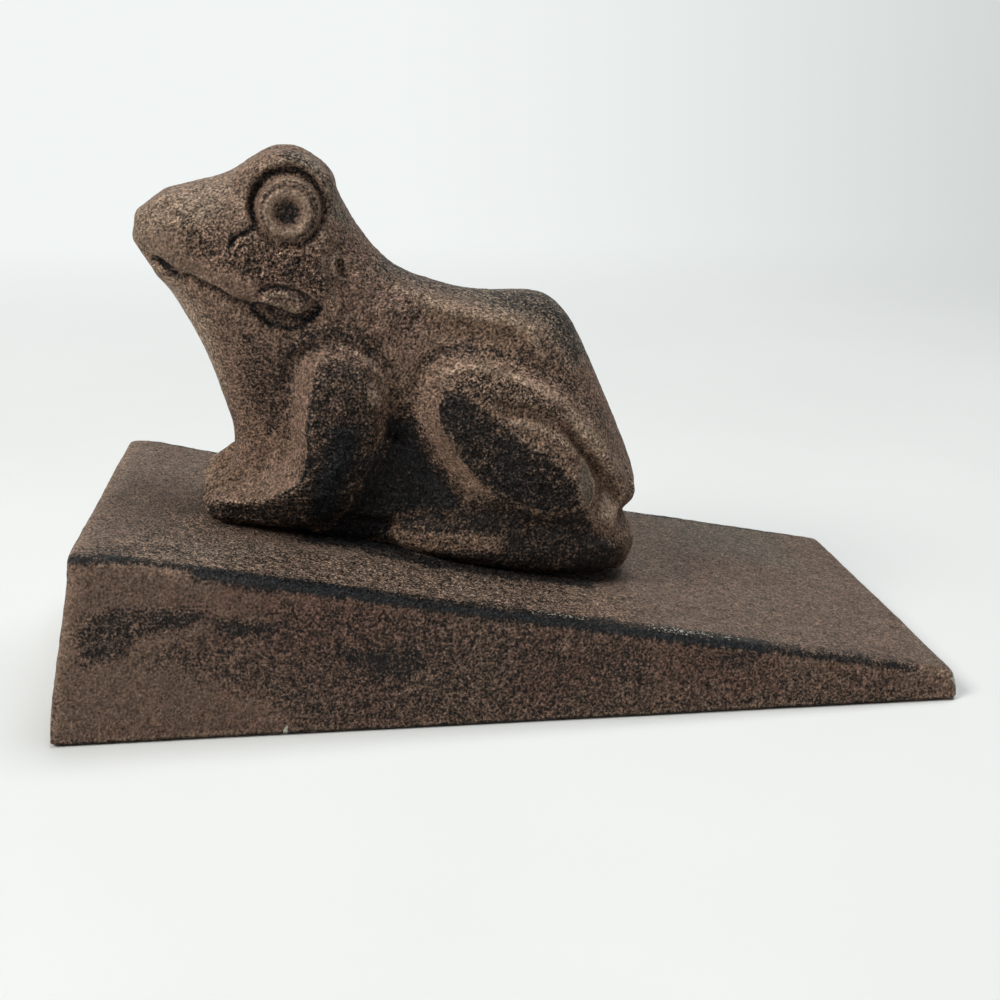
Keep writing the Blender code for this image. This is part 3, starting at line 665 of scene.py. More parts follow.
ARM_SIDE_EDGE = [
    (-51.0, 4.2, 11.2), (-49.0, 4.9, 12.1), (-46.0, 5.5, 13.0), (-43.3, 6.0, 13.7), (-41.1, 7.1, 14.2),
    (-39.0, 8.8, 14.6), (-37.3, 10.6, 14.9), (-37.1, 12.6, 15.0), (-36.8, 15.4, 15.0), (-37.6, 18.9, 15.0),
    (-37.7, 22.2, 15.0), (-37.4, 26.2, 14.9), (-37.7, 28.4, 14.6), (-38.0, 29.6, 14.2), (-37.4, 31.0, 13.8),
]
ARM_BACK_EDGE = [
    (-35.6, 31.7, 14.0), (-33.4, 31.4, 14.2), (-30.8, 30.2, 14.3), (-28.9, 28.0, 14.3), (-27.9, 25.2, 14.2),
    (-27.4, 21.4, 14.3), (-27.4, 17.0, 14.4), (-28.2, 11.6, 14.2), (-31.0, 7.0, 13.6), (-34.6, 3.8, 12.9),
    (-41.5, 2.0, 12.5), (-48.0, 1.9, 11.6),
]
ARM_MIDDLE = [
    (-35.2, 27.6, 15.2), (-32.0, 26.6, 15.4), (-31.6, 20.0, 15.5), (-31.8, 14.0, 15.3), (-35.0, 8.4, 14.7),
]
ARM_LINES = [ARM_OUTLINE, ARM_SIDE_EDGE, ARM_BACK_EDGE, ARM_MIDDLE]
LEG_RIM = [
    (-22.4, 8.6), (-22.8, 14), (-23.0, 20), (-23.2, 26), (-22.8, 31.5), (-20.2, 35.6), (-15, 38.2), (-8, 38.4),
    (-2, 37.4), (3.5, 35.8), (8.2, 33.0), (11.6, 29.4), (14.6, 26.0), (17.2, 22.6), (19.6, 18.6), (20.4, 14.4),
    (20.6, 10.6), (19.4, 7.8), (9.3, 6.8), (-1.1, 6.0), (-6.2, 6.6), (-11.8, 7.2), (-17.5, 7.2),
]
THIGH_HOLLOW = [
    (-20.6, 32.8, 10.9), (-18.6, 34.8, 10.8), (-14.6, 36.4, 10.8), (-10.8, 36.6, 10.8), (-7.2, 36.4, 10.8),
    (-3.4, 35.6, 11.0), (0.2, 34.8, 11.0), (3.8, 33.4, 10.9), (7.6, 30.9, 10.8), (10.8, 28.4, 10.3),
    (13.8, 25.0, 9.8),
]
THIGH_CREST = [
    (-17.6, 32.0, 12.9), (-14.2, 33.8, 13.4), (-10.8, 34.2, 13.7), (-7.7, 34.1, 13.8), (-4.6, 33.4, 13.9),
    (-1.4, 32.6, 13.9), (2.2, 31.4, 13.8), (5.8, 29.0, 13.5), (8.6, 27.3, 13.2), (11.2, 25.0, 12.9),
    (13.6, 22.4, 12.6), (16.2, 19.8, 12.0), (18.2, 17.0, 11.2),
]
THIGH_BAND = [
    (-12.5, 31.6, 15.1), (-8.2, 30.8, 15.2), (-3.4, 30.2, 15.1), (1.4, 29.4, 14.8), (5.8, 27.6, 14.3),
    (9.2, 24.6, 13.8), (12.6, 21.7, 13.2), (15.8, 18.7, 12.4), (17.8, 16.4, 11.6),
]
THIGH_FOLD = [
    (-5.2, 27.9, 15.0), (-2.5, 27.6, 14.4), (0.2, 27.4, 13.9), (2.7, 27.0, 13.4), (5.2, 25.9, 12.8),
    (7.2, 24.1, 12.1), (9.3, 22.2, 11.5), (11.3, 20.7, 11.1), (13.2, 19.1, 10.8), (15.3, 17.5, 10.6),
    (17.0, 16.1, 10.4),
]
SHIN_TOP_EDGE = [
    (-4.9, 26.5, 15.4), (-2.7, 26.5, 15.3), (-0.6, 26.2, 15.2), (1.8, 25.7, 15.1), (3.9, 24.9, 15.0),
    (5.6, 23.9, 14.9), (7.0, 22.6, 14.7),
]
SHIN_CREST = [
    (-13.2, 29.4, 15.5), (-9.3, 28.0, 15.9), (-5.6, 25.5, 16.3), (-2.2, 23.7, 16.5), (1.6, 22.2, 16.6),
    (4.8, 20.4, 16.6), (7.7, 18.3, 16.5),
]
SHIN_SIDE_EDGE = [
    (-16.9, 30.4, 14.3), (-16.9, 27.3, 15.0), (-16.1, 24.5, 15.5), (-14.9, 22.6, 15.7), (-12.8, 20.3, 15.9),
    (-10.9, 18.3, 16.0), (-8.6, 16.4, 16.1), (-6.4, 14.8, 16.2), (-4.0, 13.6, 16.2), (-1.1, 12.5, 16.2),
    (3.0, 11.9, 16.2), (7.0, 12.4, 16.2), (9.8, 14.0, 16.2),
]
KNEE_OUTLINE = [
    (-20.2, 31.0, 11.2), (-21.0, 28.4, 11.0), (-21.2, 25.6, 10.8), (-20.7, 22.6, 10.5), (-19.4, 19.4, 10.5),
    (-16.9, 16.0, 11.0), (-13.8, 13.2, 11.7), (-10.6, 10.8, 12.5), (-7.4, 9.5, 13.6),
]
SHIN_END_FRONT = [(8.2, 17.8, 16.4), (9.2, 15.9, 16.4)]
SHIN_END_BACK = [(8.6, 21.8, 13.8), (10.2, 19.8, 13.9), (11.5, 17.6, 14.2), (11.8, 15.4, 14.6), (11.0, 13.6, 15.2)]
HEEL_FRONT = [(11.6, 19.0, 11.4), (13.0, 16.6, 11.8), (13.6, 14.2, 13.0), (13.4, 11.6, 14.6)]
HEEL_BACK = [(15.6, 15.0, 12.1), (17.8, 13.2, 12.2), (16.4, 10.4, 13.7)]
ANKLE = [(-4.6, 9.9, 14.6), (0.5, 9.0, 15.1), (6.0, 9.2, 15.1), (11.4, 10.0, 15.0)]
LEG_LINES = [THIGH_HOLLOW, THIGH_CREST, THIGH_BAND, THIGH_FOLD, SHIN_TOP_EDGE, SHIN_CREST, SHIN_SIDE_EDGE,
             KNEE_OUTLINE, SHIN_END_FRONT, SHIN_END_BACK, HEEL_FRONT, HEEL_BACK, ANKLE]


def on_ramp(points):
    """Points in the ramp's own directions, in millimetres."""
    x, y, z = (points / MM).T
    z = z - RAMP_HEIGHT / MM
    return np.column_stack((x * math.cos(RAMP_SLOPE) - z * math.sin(RAMP_SLOPE), y,
                            x * math.sin(RAMP_SLOPE) + z * math.cos(RAMP_SLOPE)))


def off_ramp(points):
    x, y, z = points.T
    return MM * np.column_stack((x * math.cos(RAMP_SLOPE) + z * math.sin(RAMP_SLOPE), y,
                                 z * math.cos(RAMP_SLOPE) - x * math.sin(RAMP_SLOPE) + RAMP_HEIGHT / MM))


def carved_half_width(spots, rim, lines, tree):
    """The half width over a cut area: flat facets between its lines, down to the old skin at its rim."""
    def old_width(x, z):
        hit = tree.ray_cast(Vector((x, -60, z)), Vector((0, 1, 0)))[0]
        return -hit.y if hit else math.nan

    heights = [old_width(x, z) for x, z in rim]
    known = [h for h in heights if not math.isnan(h)]
    heights = [h if not math.isnan(h) else min(known) for h in heights]
    flat = [Vector(p) for p in rim]
    edges = [(i, (i + 1) % len(rim)) for i in range(len(rim))]
    for line in lines:
        edges += [(len(flat) + i, len(flat) + i + 1) for i in range(len(line) - 1)]
        flat += [Vector(p[:2]) for p in line]
        heights += [p[2] for p in line]
    corners, _, faces, origins, _, _ = delaunay_2d_cdt(flat, edges, [], 1, 1e-5)
    width = np.full(len(spots), np.nan)
    for face in faces:
        (a, b, c) = (np.array(corners[i]) for i in face)
        levels = [np.mean([heights[j] for j in origins[i]]) for i in face]
        area = np.cross(b - a, c - a)
        u = ((spots[:, 0] - a[0]) * (c - a)[1] - (spots[:, 1] - a[1]) * (c - a)[0]) / area
        v = ((b - a)[0] * (spots[:, 1] - a[1]) - (b - a)[1] * (spots[:, 0] - a[0])) / area
        hit = (u >= -1e-6) & (v >= -1e-6) & (u + v <= 1 + 1e-6)
        width[hit] = levels[0] + u[hit] * (levels[1] - levels[0]) + v[hit] * (levels[2] - levels[0])
    return width


def skin_tree(mesh, points):
    faces = [tuple(face.vertices) for face in mesh.polygons]
    return BVHTree.FromPolygons([Vector(p) for p in points.tolist()], faces)


def press_facets(mesh, points, areas):
    """Moves the outer skin of both sides sideways onto the facets of the cut areas."""
    tree = skin_tree(mesh, points)
    spots = points[:, [0, 2]]
    for rim, lines in areas:
        near = np.flatnonzero(inside(spots, rim))
        target = carved_half_width(spots[near], rim, lines, tree)
        weight = smooth_step(line_distance(spots[near], rim, True)[0], 0, BLEND_WIDTH)
        for i, width, share in zip(near, target, weight):
            x, y, z = points[i]
            side = math.copysign(1, y)
            hit = tree.ray_cast(Vector((x, 60 * side, z)), Vector((0, -side, 0)))[0]
            if hit is not None and abs(hit.y) < abs(y) + OUTER_SKIN and not math.isnan(width):
                points[i, 1] = y + (side * width - y) * share
    return points


# the snout: how far its tip is filled out, and a corner and a direction for each of the three flat cuts on it
SNOUT_FILL = 0.7
SNOUT_FILL_START = -62.0
SNOUT_FILL_END = -68.0
SNOUT_ROUNDING = 0.022
SNOUT_CUTS = [((-69.9, 46.0), (-1.0, 0.0)), ((-68.6, 49.6), (-0.72, 0.69)), ((-68.2, 42.0), (-0.76, -0.65))]


def cut_snout(points):
    """Squares the tip of the snout: a flat front, a flat cut above it and the straight line of the jaw."""
    x, y, z = points.T
    points[:, 0] -= SNOUT_FILL * smooth_step(-x, -SNOUT_FILL_START, -SNOUT_FILL_END)
    for (corner_x, corner_z), (normal_x, normal_z) in SNOUT_CUTS:
        depth = (points[:, 0] - corner_x) * normal_x + (points[:, 2] - corner_z) * normal_z
        depth = np.maximum(depth + SNOUT_ROUNDING * y ** 2, 0) * (x < SNOUT_FILL_START)
        points[:, 0] -= depth * normal_x
        points[:, 2] -= depth * normal_z
    return points


EYE_CENTRE = (-45.5, 53.7)
EYE_RADIUS = 4.95
EYE_HEIGHT = 12.35
EYE_TILT = -0.035
EYE_EDGE = (4.5, 5.3)
EYE_ROUNDING = 0.6
IRIS_SHIFT = (-0.2, -0.35)
# how far the eye stands out at distances from the middle of its pupil
IRIS_PROFILE = [
    (0, -0.8), (1.5, -0.7), (2.3, -0.1), (2.7, 0.1), (3.5, 0.1), (4.0, -0.2), (4.3, -0.15), (4.7, -0.4), (5.5, -0.6),
]
# the groove around it is widest and deepest in the direction that it leans, up and forward
EYE_GROOVE_DEPTH = 1.1
EYE_GROOVE_LEAN = (-0.75, 0.66)
EYE_GROOVE_HALF_WIDTH = [(-1.0, 0.6), (-0.4, 0.65), (0.0, 0.8), (0.4, 1.05), (0.7, 1.25), (1.0, 1.35)]
EYE_GROOVE_STRENGTH = [(-1.0, 0.38), (-0.7, 0.45), (-0.4, 0.52), (0.0, 0.68), (0.5, 0.80), (1.0, 0.85)]
EYE_OPEN_BELOW = (0.55, 0.9)


def carve_eye(points, outer):
    """A flat iris ring with a dimple for the pupil, on an eyeball in a deep groove that is open below."""
    x, y, z = points.T
    aside, up = x - EYE_CENTRE[0], z - EYE_CENTRE[1]
    radius = np.hypot(aside, up)
    iris_radius = np.hypot(aside - IRIS_SHIFT[0], up - IRIS_SHIFT[1])
    radii, levels = zip(*IRIS_PROFILE)
    shape = EYE_HEIGHT + EYE_TILT * up + np.interp(iris_radius, radii, levels)
    shape -= EYE_ROUNDING * smooth_step(radius, *EYE_EDGE)
    share = 1 - smooth_step(radius, *EYE_EDGE)
    width = np.abs(y) * (1 - share) + shape * share
    turn = (aside * EYE_GROOVE_LEAN[0] + up * EYE_GROOVE_LEAN[1]) / np.maximum(radius, 0.1)
    half_width = np.interp(turn, *zip(*EYE_GROOVE_HALF_WIDTH))
    ring = 0.5 + 0.5 * np.cos(math.pi * np.clip((radius - EYE_RADIUS - half_width * 0.8) / half_width, -1, 1))
    ring *= np.interp(turn, *zip(*EYE_GROOVE_STRENGTH))
    ring *= 1 - smooth_step(-up / np.maximum(radius, 0.1), *EYE_OPEN_BELOW)
    width -= EYE_GROOVE_DEPTH * ring
    points[:, 1] = np.where(outer > 0.5, np.sign(y) * width, y)
    return radius, iris_radius, ring


# the lines and areas that are cut into both sides, as they are seen from the side
MOUTH_SLOT = [(-65.2, 42.3), (-63.9, 41.6), (-62.4, 40.7), (-61.0, 39.9)]
MOUTH_LINE = [(-61.0, 40.3), (-59.2, 40.5), (-57.7, 40.1), (-56.4, 39.5), (-54.9, 39.3), (-53.4, 38.6), (-52.0, 38.0),
              (-49.6, 37.9)]
CRESCENT = [(-49.8, 38.0), (-48.1, 36.3), (-45.8, 35.2), (-43.0, 34.9), (-40.9, 35.8), (-39.2, 37.6), (-38.4, 39.2),
            (-39.2, 40.0), (-40.1, 38.7), (-41.2, 37.8), (-42.4, 37.5), (-43.9, 37.8), (-45.9, 38.2), (-47.9, 38.4)]
LIP_PLUG = [(-48.0, 38.9), (-47.6, 40.5), (-45.8, 41.3), (-43.0, 41.2), (-40.6, 40.2), (-41.4, 38.4), (-42.5, 38.0),
            (-44.2, 38.3)]
PLUG_TOP = [(-48.2, 40.6), (-45.8, 41.6), (-43.0, 41.5), (-40.4, 40.4)]
LIP_BAND = [(-68.6, 45.6), (-66.0, 43.6), (-62.9, 42.2), (-59.5, 41.2), (-56.0, 40.3), (-52.2, 38.9), (-49.0, 39.2),
            (-48.6, 40.6), (-51.4, 42.0), (-54.0, 42.3), (-56.4, 42.7), (-59.4, 43.9), (-61.4, 45.4), (-64.0, 47.2),
            (-67.6, 47.0)]
TEAR_LINE = [(-50.4, 50.4), (-51.2, 49.4), (-52.4, 48.8), (-53.5, 47.7), (-53.9, 46.4)]
NOSTRIL = [(-65.0, 50.9), (-64.3, 50.6)]
EAR_RIM = [(-36.8, 48.4), (-37.6, 46.9), (-37.2, 45.2), (-35.6, 43.9)]
EAR_HOLLOW = [(-36.0, 47.6), (-36.2, 46.2), (-35.4, 44.9)]
CHEEK_RIDGE = [(-41.0, 45.4), (-37.4, 42.2), (-34.4, 38.5)]
NECK_CREASE = [(-36.9, 52.6), (-36.8, 47.5), (-35.2, 43.0), (-32.4, 37.8)]
BACK_RIDGE = [(-26.5, 43.9), (-23.9, 43.6), (-17.1, 42.1), (-7.7, 42.0), (-3.8, 41.0), (-1.2, 37.4)]
BACK_HOLLOW = [(-25.0, 40.6), (-17.0, 38.9), (-8.0, 38.6), (-3.6, 37.4)]
SHOULDER_CREASE = [(-31.0, 35.6), (-27.2, 32.4), (-24.6, 28.6), (-23.2, 23.0)]
CARVED_LINES = [
    # the line, its half width, its depth (below 0 stands proud) and how far its ends fade
    (MOUTH_SLOT, 1.0, 0.9, 1.0),
    (MOUTH_LINE, 0.9, 0.6, 1.0),
    (TEAR_LINE, 0.9, 0.45, 1.0),
    (NOSTRIL, 0.9, 0.7, 0.0),
    (PLUG_TOP, 0.8, 0.35, 1.0),
    (EAR_RIM, 0.7, -0.40, 1.0),
    (EAR_HOLLOW, 0.9, 0.5, 0.5),
    (CHEEK_RIDGE, 2.2, -0.35, 2.0),
    (NECK_CREASE, 3.0, 0.4, 4.0),
    (BACK_RIDGE, 1.9, -0.75, 2.5),
    (BACK_HOLLOW, 2.6, 0.55, 4.0),
    (SHOULDER_CREASE, 2.2, 0.4, 3.0),
]
# the areas that are sunk below the skin or stand proud of it: the ring, its softness and its depth
CARVED_AREAS = [
    (CRESCENT, 0.45, 0.85),
    (LIP_PLUG, 0.5, -0.55),
    (LIP_BAND, 0.6, -0.30),
]
CARVED_FACING = (0.02, 0.2)
# the gaps between the toes, drawn from above: the line and its depth
TOE_GAPS = [([(-55.0, 1.2), (-50, 1.3), (-46, 1.6)], 0.3), ([(-55.0, 6.2), (-50, 6.1), (-46.5, 6.3)], 1.3)]
TOE_GAP_HALF_WIDTH = 1.4
TOE_GAP_TAPER = 1.5
TOE_TOP_FACING = (0.2, 0.5)
TOES_START = (43.0, 46.0)
FEET_TOP = (9.0, 13.0)
# the fill that closes the gap under the belly between the legs, painted black as shade: its ring seen from the side,
# and two layers with a half width and a lowest point
BELLY_FILL = [(-35.0, 0.3), (-30.0, 0.3), (-20.0, 0.3), (-15.0, 0.3), (-13.0, 7.0), (-15.0, 14.0), (-22.0, 19.0),
              (-30.0, 19.0), (-34.0, 12.0)]
BELLY_LAYERS = [(11.5, 5.2), (10.0, 0.3)]
# The far front foot stands a little higher and further forward than the near one.
FAR_FOOT_LIFT = 3.4
FAR_FOOT_REACH = 0.9
FAR_SIDE = (2.0, 6.0)
FAR_FOOT_START = (43.0, 47.5)
FAR_FOOT_FULL_HEIGHT = 7.0
# the notch over the heel, the heel's lifted end, the top of the head and the dip of the neck
HEEL_PINCH = 3.0
HEEL_PINCH_HEIGHT = 12.2
HEEL_PINCH_SPREAD = 2.7
HEEL_PINCH_START = (16.5, 21.0)
HEEL_LIFT = 0.7
HEEL_LIFT_START = (8.0, 17.0)
HEEL_LIFT_TOP = (1.0, 4.0)
HEAD_LIFT = 0.2
HEAD_LIFT_START = (56.0, 62.0)
NECK_DIP = 0.45
NECK_DIP_PLACE = -27.0
NECK_DIP_SPREAD = 5.0
NECK_DIP_START = (38.0, 45.0)
# the soles: a thin gap above the ramp, with their edges drawn in
SOLE_HEIGHT = 0.3
SOLE_ROUNDING = 2.2
SOLE_UNDERCUT = 0.30
# crumbs of burnt sand, largest where the skin is rough
CRUMB = 0.95 * MM
CRUMB_HEIGHT = 0.05 * MM
ROUGH_CRUMB_HEIGHT = 0.26 * MM


def with_belly(mesh):
    """A copy of the frog with the fill under its belly between the legs, which the remesh then joins to the body."""
    shape = mesh.copy()
    ring = np.array([(x, y, z) for y in (-1, 1) for x, z in BELLY_FILL], float)
    body = bmesh.new()
    body.from_mesh(shape)
    added = []
    for half_width, lift in BELLY_LAYERS:
        corners = ring * (1, half_width, 1)
        corners[:, 2] = np.maximum(corners[:, 2], lift)
        made = [body.verts.new(p) for p in off_ramp(corners)]
        size = len(BELLY_FILL)
        added.append(body.faces.new(made[:size][::-1]))
        added.append(body.faces.new(made[size:]))
        for i in range(size):
            j = (i + 1) % size
            added.append(body.faces.new((made[i], made[j], made[size + j], made[size + i])))
    bmesh.ops.recalc_face_normals(body, faces=added)
    body.to_mesh(shape)
    body.free()
    return shape


def facing_out(mesh, points, facing):
    """1 on the skin that faces the side it is on, and 0 on the skin that faces the middle."""
    return smooth_step(read_normals(mesh)[:, 1] * np.sign(points[:, 1]), *facing)


def carve_lines(points, normals, outer):
    """Presses the drawn lines and areas into the skin of both sides."""
    spots = points[:, [0, 2]]
    depth = np.zeros(len(points))
    for line, half_width, line_depth, taper in CARVED_LINES:
        depth += line_depth * stroke(spots, line, half_width, taper)
    for ring, softness, ring_depth in CARVED_AREAS:
        depth += ring_depth * soft_inside(spots, ring, softness)
    return on_ramp(off_ramp(points) - normals * (depth * outer * MM)[:, None])


def shift_limbs(points):
    """Moves the far foot, the heel, the head's top and the neck to where this casting has them."""
    x, y, z = points.T
    low = 1 - smooth_step(z, *FEET_TOP)
    far_foot = smooth_step(y, *FAR_SIDE) * smooth_step(-x, *FAR_FOOT_START) * low
    z += FAR_FOOT_LIFT * far_foot * np.clip(z / FAR_FOOT_FULL_HEIGHT, 0, 1) ** 2
    x -= FAR_FOOT_REACH * far_foot
    pinch = np.exp(-((z - HEEL_PINCH_HEIGHT) / HEEL_PINCH_SPREAD) ** 2)
    x -= HEEL_PINCH * pinch * smooth_step(x, *HEEL_PINCH_START)
    z += HEEL_LIFT * smooth_step(x, *HEEL_LIFT_START) * (1 - smooth_step(z, *HEEL_LIFT_TOP))
    z += HEAD_LIFT * smooth_step(z, *HEAD_LIFT_START)
    dip = np.exp(-((x - NECK_DIP_PLACE) / NECK_DIP_SPREAD) ** 2)
    z -= NECK_DIP * dip * smooth_step(z, *NECK_DIP_START)


def part_toes(points, normals):
    """Sinks the gaps between the toes into the tops of the front feet, and returns how deep each point went."""
    x, y, z = points.T
    upward = smooth_step(normals[:, 2], *TOE_TOP_FACING) * smooth_step(-x, *TOES_START)
    upward *= 1 - smooth_step(z, *FEET_TOP)
    deepest = np.zeros(len(points))
    for gap, depth in TOE_GAPS:
        sunk = depth * stroke(np.column_stack((x, np.abs(y))), gap, TOE_GAP_HALF_WIDTH, TOE_GAP_TAPER) * upward
        z -= sunk
        deepest = np.maximum(deepest, sunk)
    return deepest


def round_soles(points, normals):
    low_down = np.maximum(SOLE_ROUNDING - points[:, 2], 0) ** 2 * SOLE_UNDERCUT
    points[:, :2] -= normals[:, :2] * low_down[:, None]
    points[:, 2] = np.maximum(points[:, 2], SOLE_HEIGHT)


PAINTED_FACING = (-0.15, 0.10)
# where the eye's paint, the painted shade under its lid and its rubbed iris start and end, as distances from the
# middle of the pupil or the eye
PUPIL_EDGE = (1.2, 2.6)
IRIS_INSIDE = (2.1, 2.7)
IRIS_OUTSIDE = (3.6, 4.0)
LID_INSIDE = (3.7, 4.1)
LID_OUTSIDE = (4.4, 4.9)
EYEBALL_EDGE = (4.8, 5.4)
GROOVE_PAINT = (0.15, 0.75)
BLACK_IN_EYE = 0.80
# painted shade in the ring round the iris, under the lid
SHADE_UNDER_LID = 0.56
BLACK_BETWEEN_TOES = 0.45
# painted shade on the fill under the belly
SHADE_UNDER_BELLY = 0.92
IRIS_RUB = 0.80
# the paint, wear and roughness of its plain skin, and what edges, hollows and rubbed places change; the hollows take
# painted shade along with paint
FROG_PAINT = 0.08
FROG_HOLLOW_PAINT_AND_SHADE = 0.45
PAINT_CLEARED_WHERE_RUBBED_AND_LIT = 0.42
FROG_WEAR = 0.25
FROG_EDGE_WEAR = 0.5
FROG_ROUGH = 0.35
BELLY_SOFTNESS = 2.0


def mark_finish(mesh, points, eye_radius, iris_radius, eye_groove, toe_gaps):
    """Gives the frog the masks that its finish reads, and returns how rough each point is."""
    spots = points[:, [0, 2]]
    outer = relaxed(mesh, facing_out(mesh, points, PAINTED_FACING), 6)[:, 0]
    rough = marked(spots, ROUGH_AREAS, []) * outer
    rubbed_and_lit = marked(spots, RUBBED_AND_LIT_AREAS, RUBBED_AND_LIT_LINES) * outer
    smooth = marked(spots, SMOOTH_AREAS, []) * outer
    paint_and_shade = marked(spots, PAINTED_AND_SHADED_AREAS, PAINTED_AND_SHADED_LINES) * outer
    sharp, hollow = edges_and_hollows(mesh, read_points(mesh))

    pupil = 1 - smooth_step(iris_radius, *PUPIL_EDGE)
    groove = smooth_step(eye_groove, *GROOVE_PAINT)
    iris = smooth_step(iris_radius, *IRIS_INSIDE) * (1 - smooth_step(iris_radius, *IRIS_OUTSIDE))
    lid_shade = smooth_step(iris_radius, *LID_INSIDE) * (1 - smooth_step(eye_radius, *LID_OUTSIDE))
    eyeball = 1 - smooth_step(eye_radius, *EYEBALL_EDGE)
    paint_and_shade = np.maximum(paint_and_shade, BLACK_IN_EYE * np.maximum(groove, pupil) * outer)
    paint_and_shade = np.maximum(paint_and_shade, SHADE_UNDER_LID * lid_shade * outer)
    rubbed_and_lit = np.maximum(rubbed_and_lit, IRIS_RUB * iris * outer)
    smooth = np.maximum(smooth, eyeball * outer)

    # painted shade on the fill under the belly, where the skin faces the middle
    shade_under_belly = soft_inside(spots, BELLY_FILL, BELLY_SOFTNESS) * (1 - outer)
    paint_and_shade = np.maximum(paint_and_shade, BLACK_BETWEEN_TOES * toe_gaps)
    paint_and_shade = np.maximum(paint_and_shade, SHADE_UNDER_BELLY * shade_under_belly)
    paint_and_shade = np.maximum(FROG_PAINT + FROG_HOLLOW_PAINT_AND_SHADE * hollow, paint_and_shade)
    add_mask(mesh, "wear_and_highlight", np.maximum(FROG_WEAR + FROG_EDGE_WEAR * sharp, rubbed_and_lit))
    add_mask(mesh, "paint_and_shade", paint_and_shade - PAINT_CLEARED_WHERE_RUBBED_AND_LIT * rubbed_and_lit)
    add_mask(mesh, "green_and_sheen", marked(spots, GREEN_AND_SHEEN_AREAS, []) * outer)
    add_mask(mesh, "rough", (FROG_ROUGH + (1 - FROG_ROUGH) * rough) * (1 - smooth))
    return rough


def frog_mesh():
    mesh = finely_skinned(with_belly(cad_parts["frog"].data), FROG_SKIN_STEP)
    points = on_ramp(relaxed(mesh, read_points(mesh), FROG_SOFTENING))
    points = cut_snout(points)
    points = press_facets(mesh, points, [(ARM_RIM, ARM_LINES), (LEG_RIM, LEG_LINES)])
    write_points(mesh, off_ramp(points))
    mesh = finely_skinned(mesh, CARVED_SKIN_STEP)
    mesh.name = "frog_figure"
    points = on_ramp(relaxed(mesh, read_points(mesh), CARVED_SOFTENING))
    write_points(mesh, off_ramp(points))
    carved = facing_out(mesh, points, CARVED_FACING)
    eye_radius, iris_radius, eye_groove = carve_eye(points, carved)
    write_points(mesh, off_ramp(relaxed(mesh, points, 1)))
    points = on_ramp(read_points(mesh))
    normals = read_normals(mesh)
    points = carve_lines(points, normals, carved)
    shift_limbs(points)
    toe_gaps = part_toes(points, normals)
    round_soles(points, normals)
    write_points(mesh, off_ramp(points))

    world = read_points(mesh)
    normals = read_normals(mesh)
    rough = mark_finish(mesh, points, eye_radius, iris_radius, eye_groove, toe_gaps)
    lumps = noise_at(world, SAND_LUMP, 3) * SAND_LUMP_HEIGHT
    crumbs = noise_at(world, CRUMB, 2) * (CRUMB_HEIGHT + ROUGH_CRUMB_HEIGHT * rough)
    world += normals * (lumps + crumbs)[:, None]
    low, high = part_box("frog")
    write_points(mesh, np.clip(world, low, high))
    return mesh


WARM_BROWN = (0.176, 0.104, 0.066)
# orange of the rubbed coat, also used for painted highlights
RUBBED_AND_LIT_ORANGE = (0.440, 0.318, 0.226)
# the areas of its finish, as they are seen from the side
CHEEK = [(-63.1, 49.9), (-58.8, 49.6), (-53.7, 49.5), (-49.1, 49.1), (-43.1, 49.0), (-39.5, 51.4), (-38.1, 46.9),
         (-38.8, 43.1), (-42.2, 42.0), (-48.1, 41.5), (-52.3, 42.2), (-57.2, 43.6), (-60.5, 45.4)]
CHEEK_BACK = [(-53.4, 47.7), (-49.0, 48.5), (-43.1, 48.6), (-39.9, 46.6), (-37.4, 42.5), (-37.9, 40.4), (-42.2, 42.5),
              (-48.1, 41.8), (-51.6, 42.4)]
NECK_PATCH = [(-44.6, 34.6), (-41.1, 34.9), (-39.5, 33.0), (-40.4, 30.0), (-42.9, 30.3), (-44.6, 32.1)]
FLANK_PATCH = [(-6.6, 38.4), (-2.5, 41.0), (1.4, 39.7), (6.5, 33.7), (10.8, 28.2), (14.0, 24.3), (11.7, 25.4),
               (5.1, 30.6), (-0.6, 33.8), (-5.4, 35.6)]
SHADED_HOLLOW_BEFORE_KNEE = [(-26.0, 23.0), (-19.6, 24.0), (-18.4, 22.0), (-16.7, 20.0), (-14.4, 17.2), (-11.4, 14.4),
                      (-8.6, 11.6), (-9.6, 8.6), (-15.2, 7.2), (-20.7, 5.9), (-20.2, 1.0), (-26.0, -1.0),
                      (-34.0, -1.0), (-29.0, 8.0), (-26.0, 14.0), (-25.0, 20.0)]
SHADED_HOLLOW_TOP = [(-25.5, 31.0), (-22.0, 30.5), (-20.6, 27.0), (-20.2, 22.0), (-25.0, 22.0)]
FRONT_FOOT = [(-53.0, 3.5), (-51.0, 6.5), (-46.0, 8.5), (-42.0, 12.0), (-40.0, 10.0), (-44.0, 6.5), (-50.0, 4.4)]
ARM_LOWER = [(-37.2, 12.0), (-25.0, 12.0), (-26.0, 9.0), (-29.5, 4.0), (-34.0, -1.0), (-54.0, -1.0),
             (-53.6, 2.6)] + ARM_SIDE_EDGE[:7]
TOE_RIDGE = [(-20.0, 3.4), (-12.5, 4.9), (-3.0, 6.4), (-2.5, 4.0), (-12.9, 2.6), (-20.0, 1.0)]
LOWER_LEG = [(-9.4, 12.4), (-5.2, 14.4), (-1.1, 12.8), (3.0, 12.0), (7.0, 12.4), (9.8, 13.8), (11.6, 12.0),
             (14.4, 8.8), (19.0, 7.8), (21.0, 3.0), (19.0, -1.0), (-14.0, -1.0), (-16.0, 1.4), (-12.6, 2.6),
             (-2.2, 4.0), (-3.0, 6.2), (-12.5, 4.9), (-19.0, 3.4), (-21.0, 6.0), (-15.6, 8.4), (-11.4, 9.0)]
CHEST = [(-50.6, 33.5), (-44.9, 32.8), (-41.8, 28.3), (-40.8, 20.0), (-44.9, 17.6), (-49.1, 22.1)]
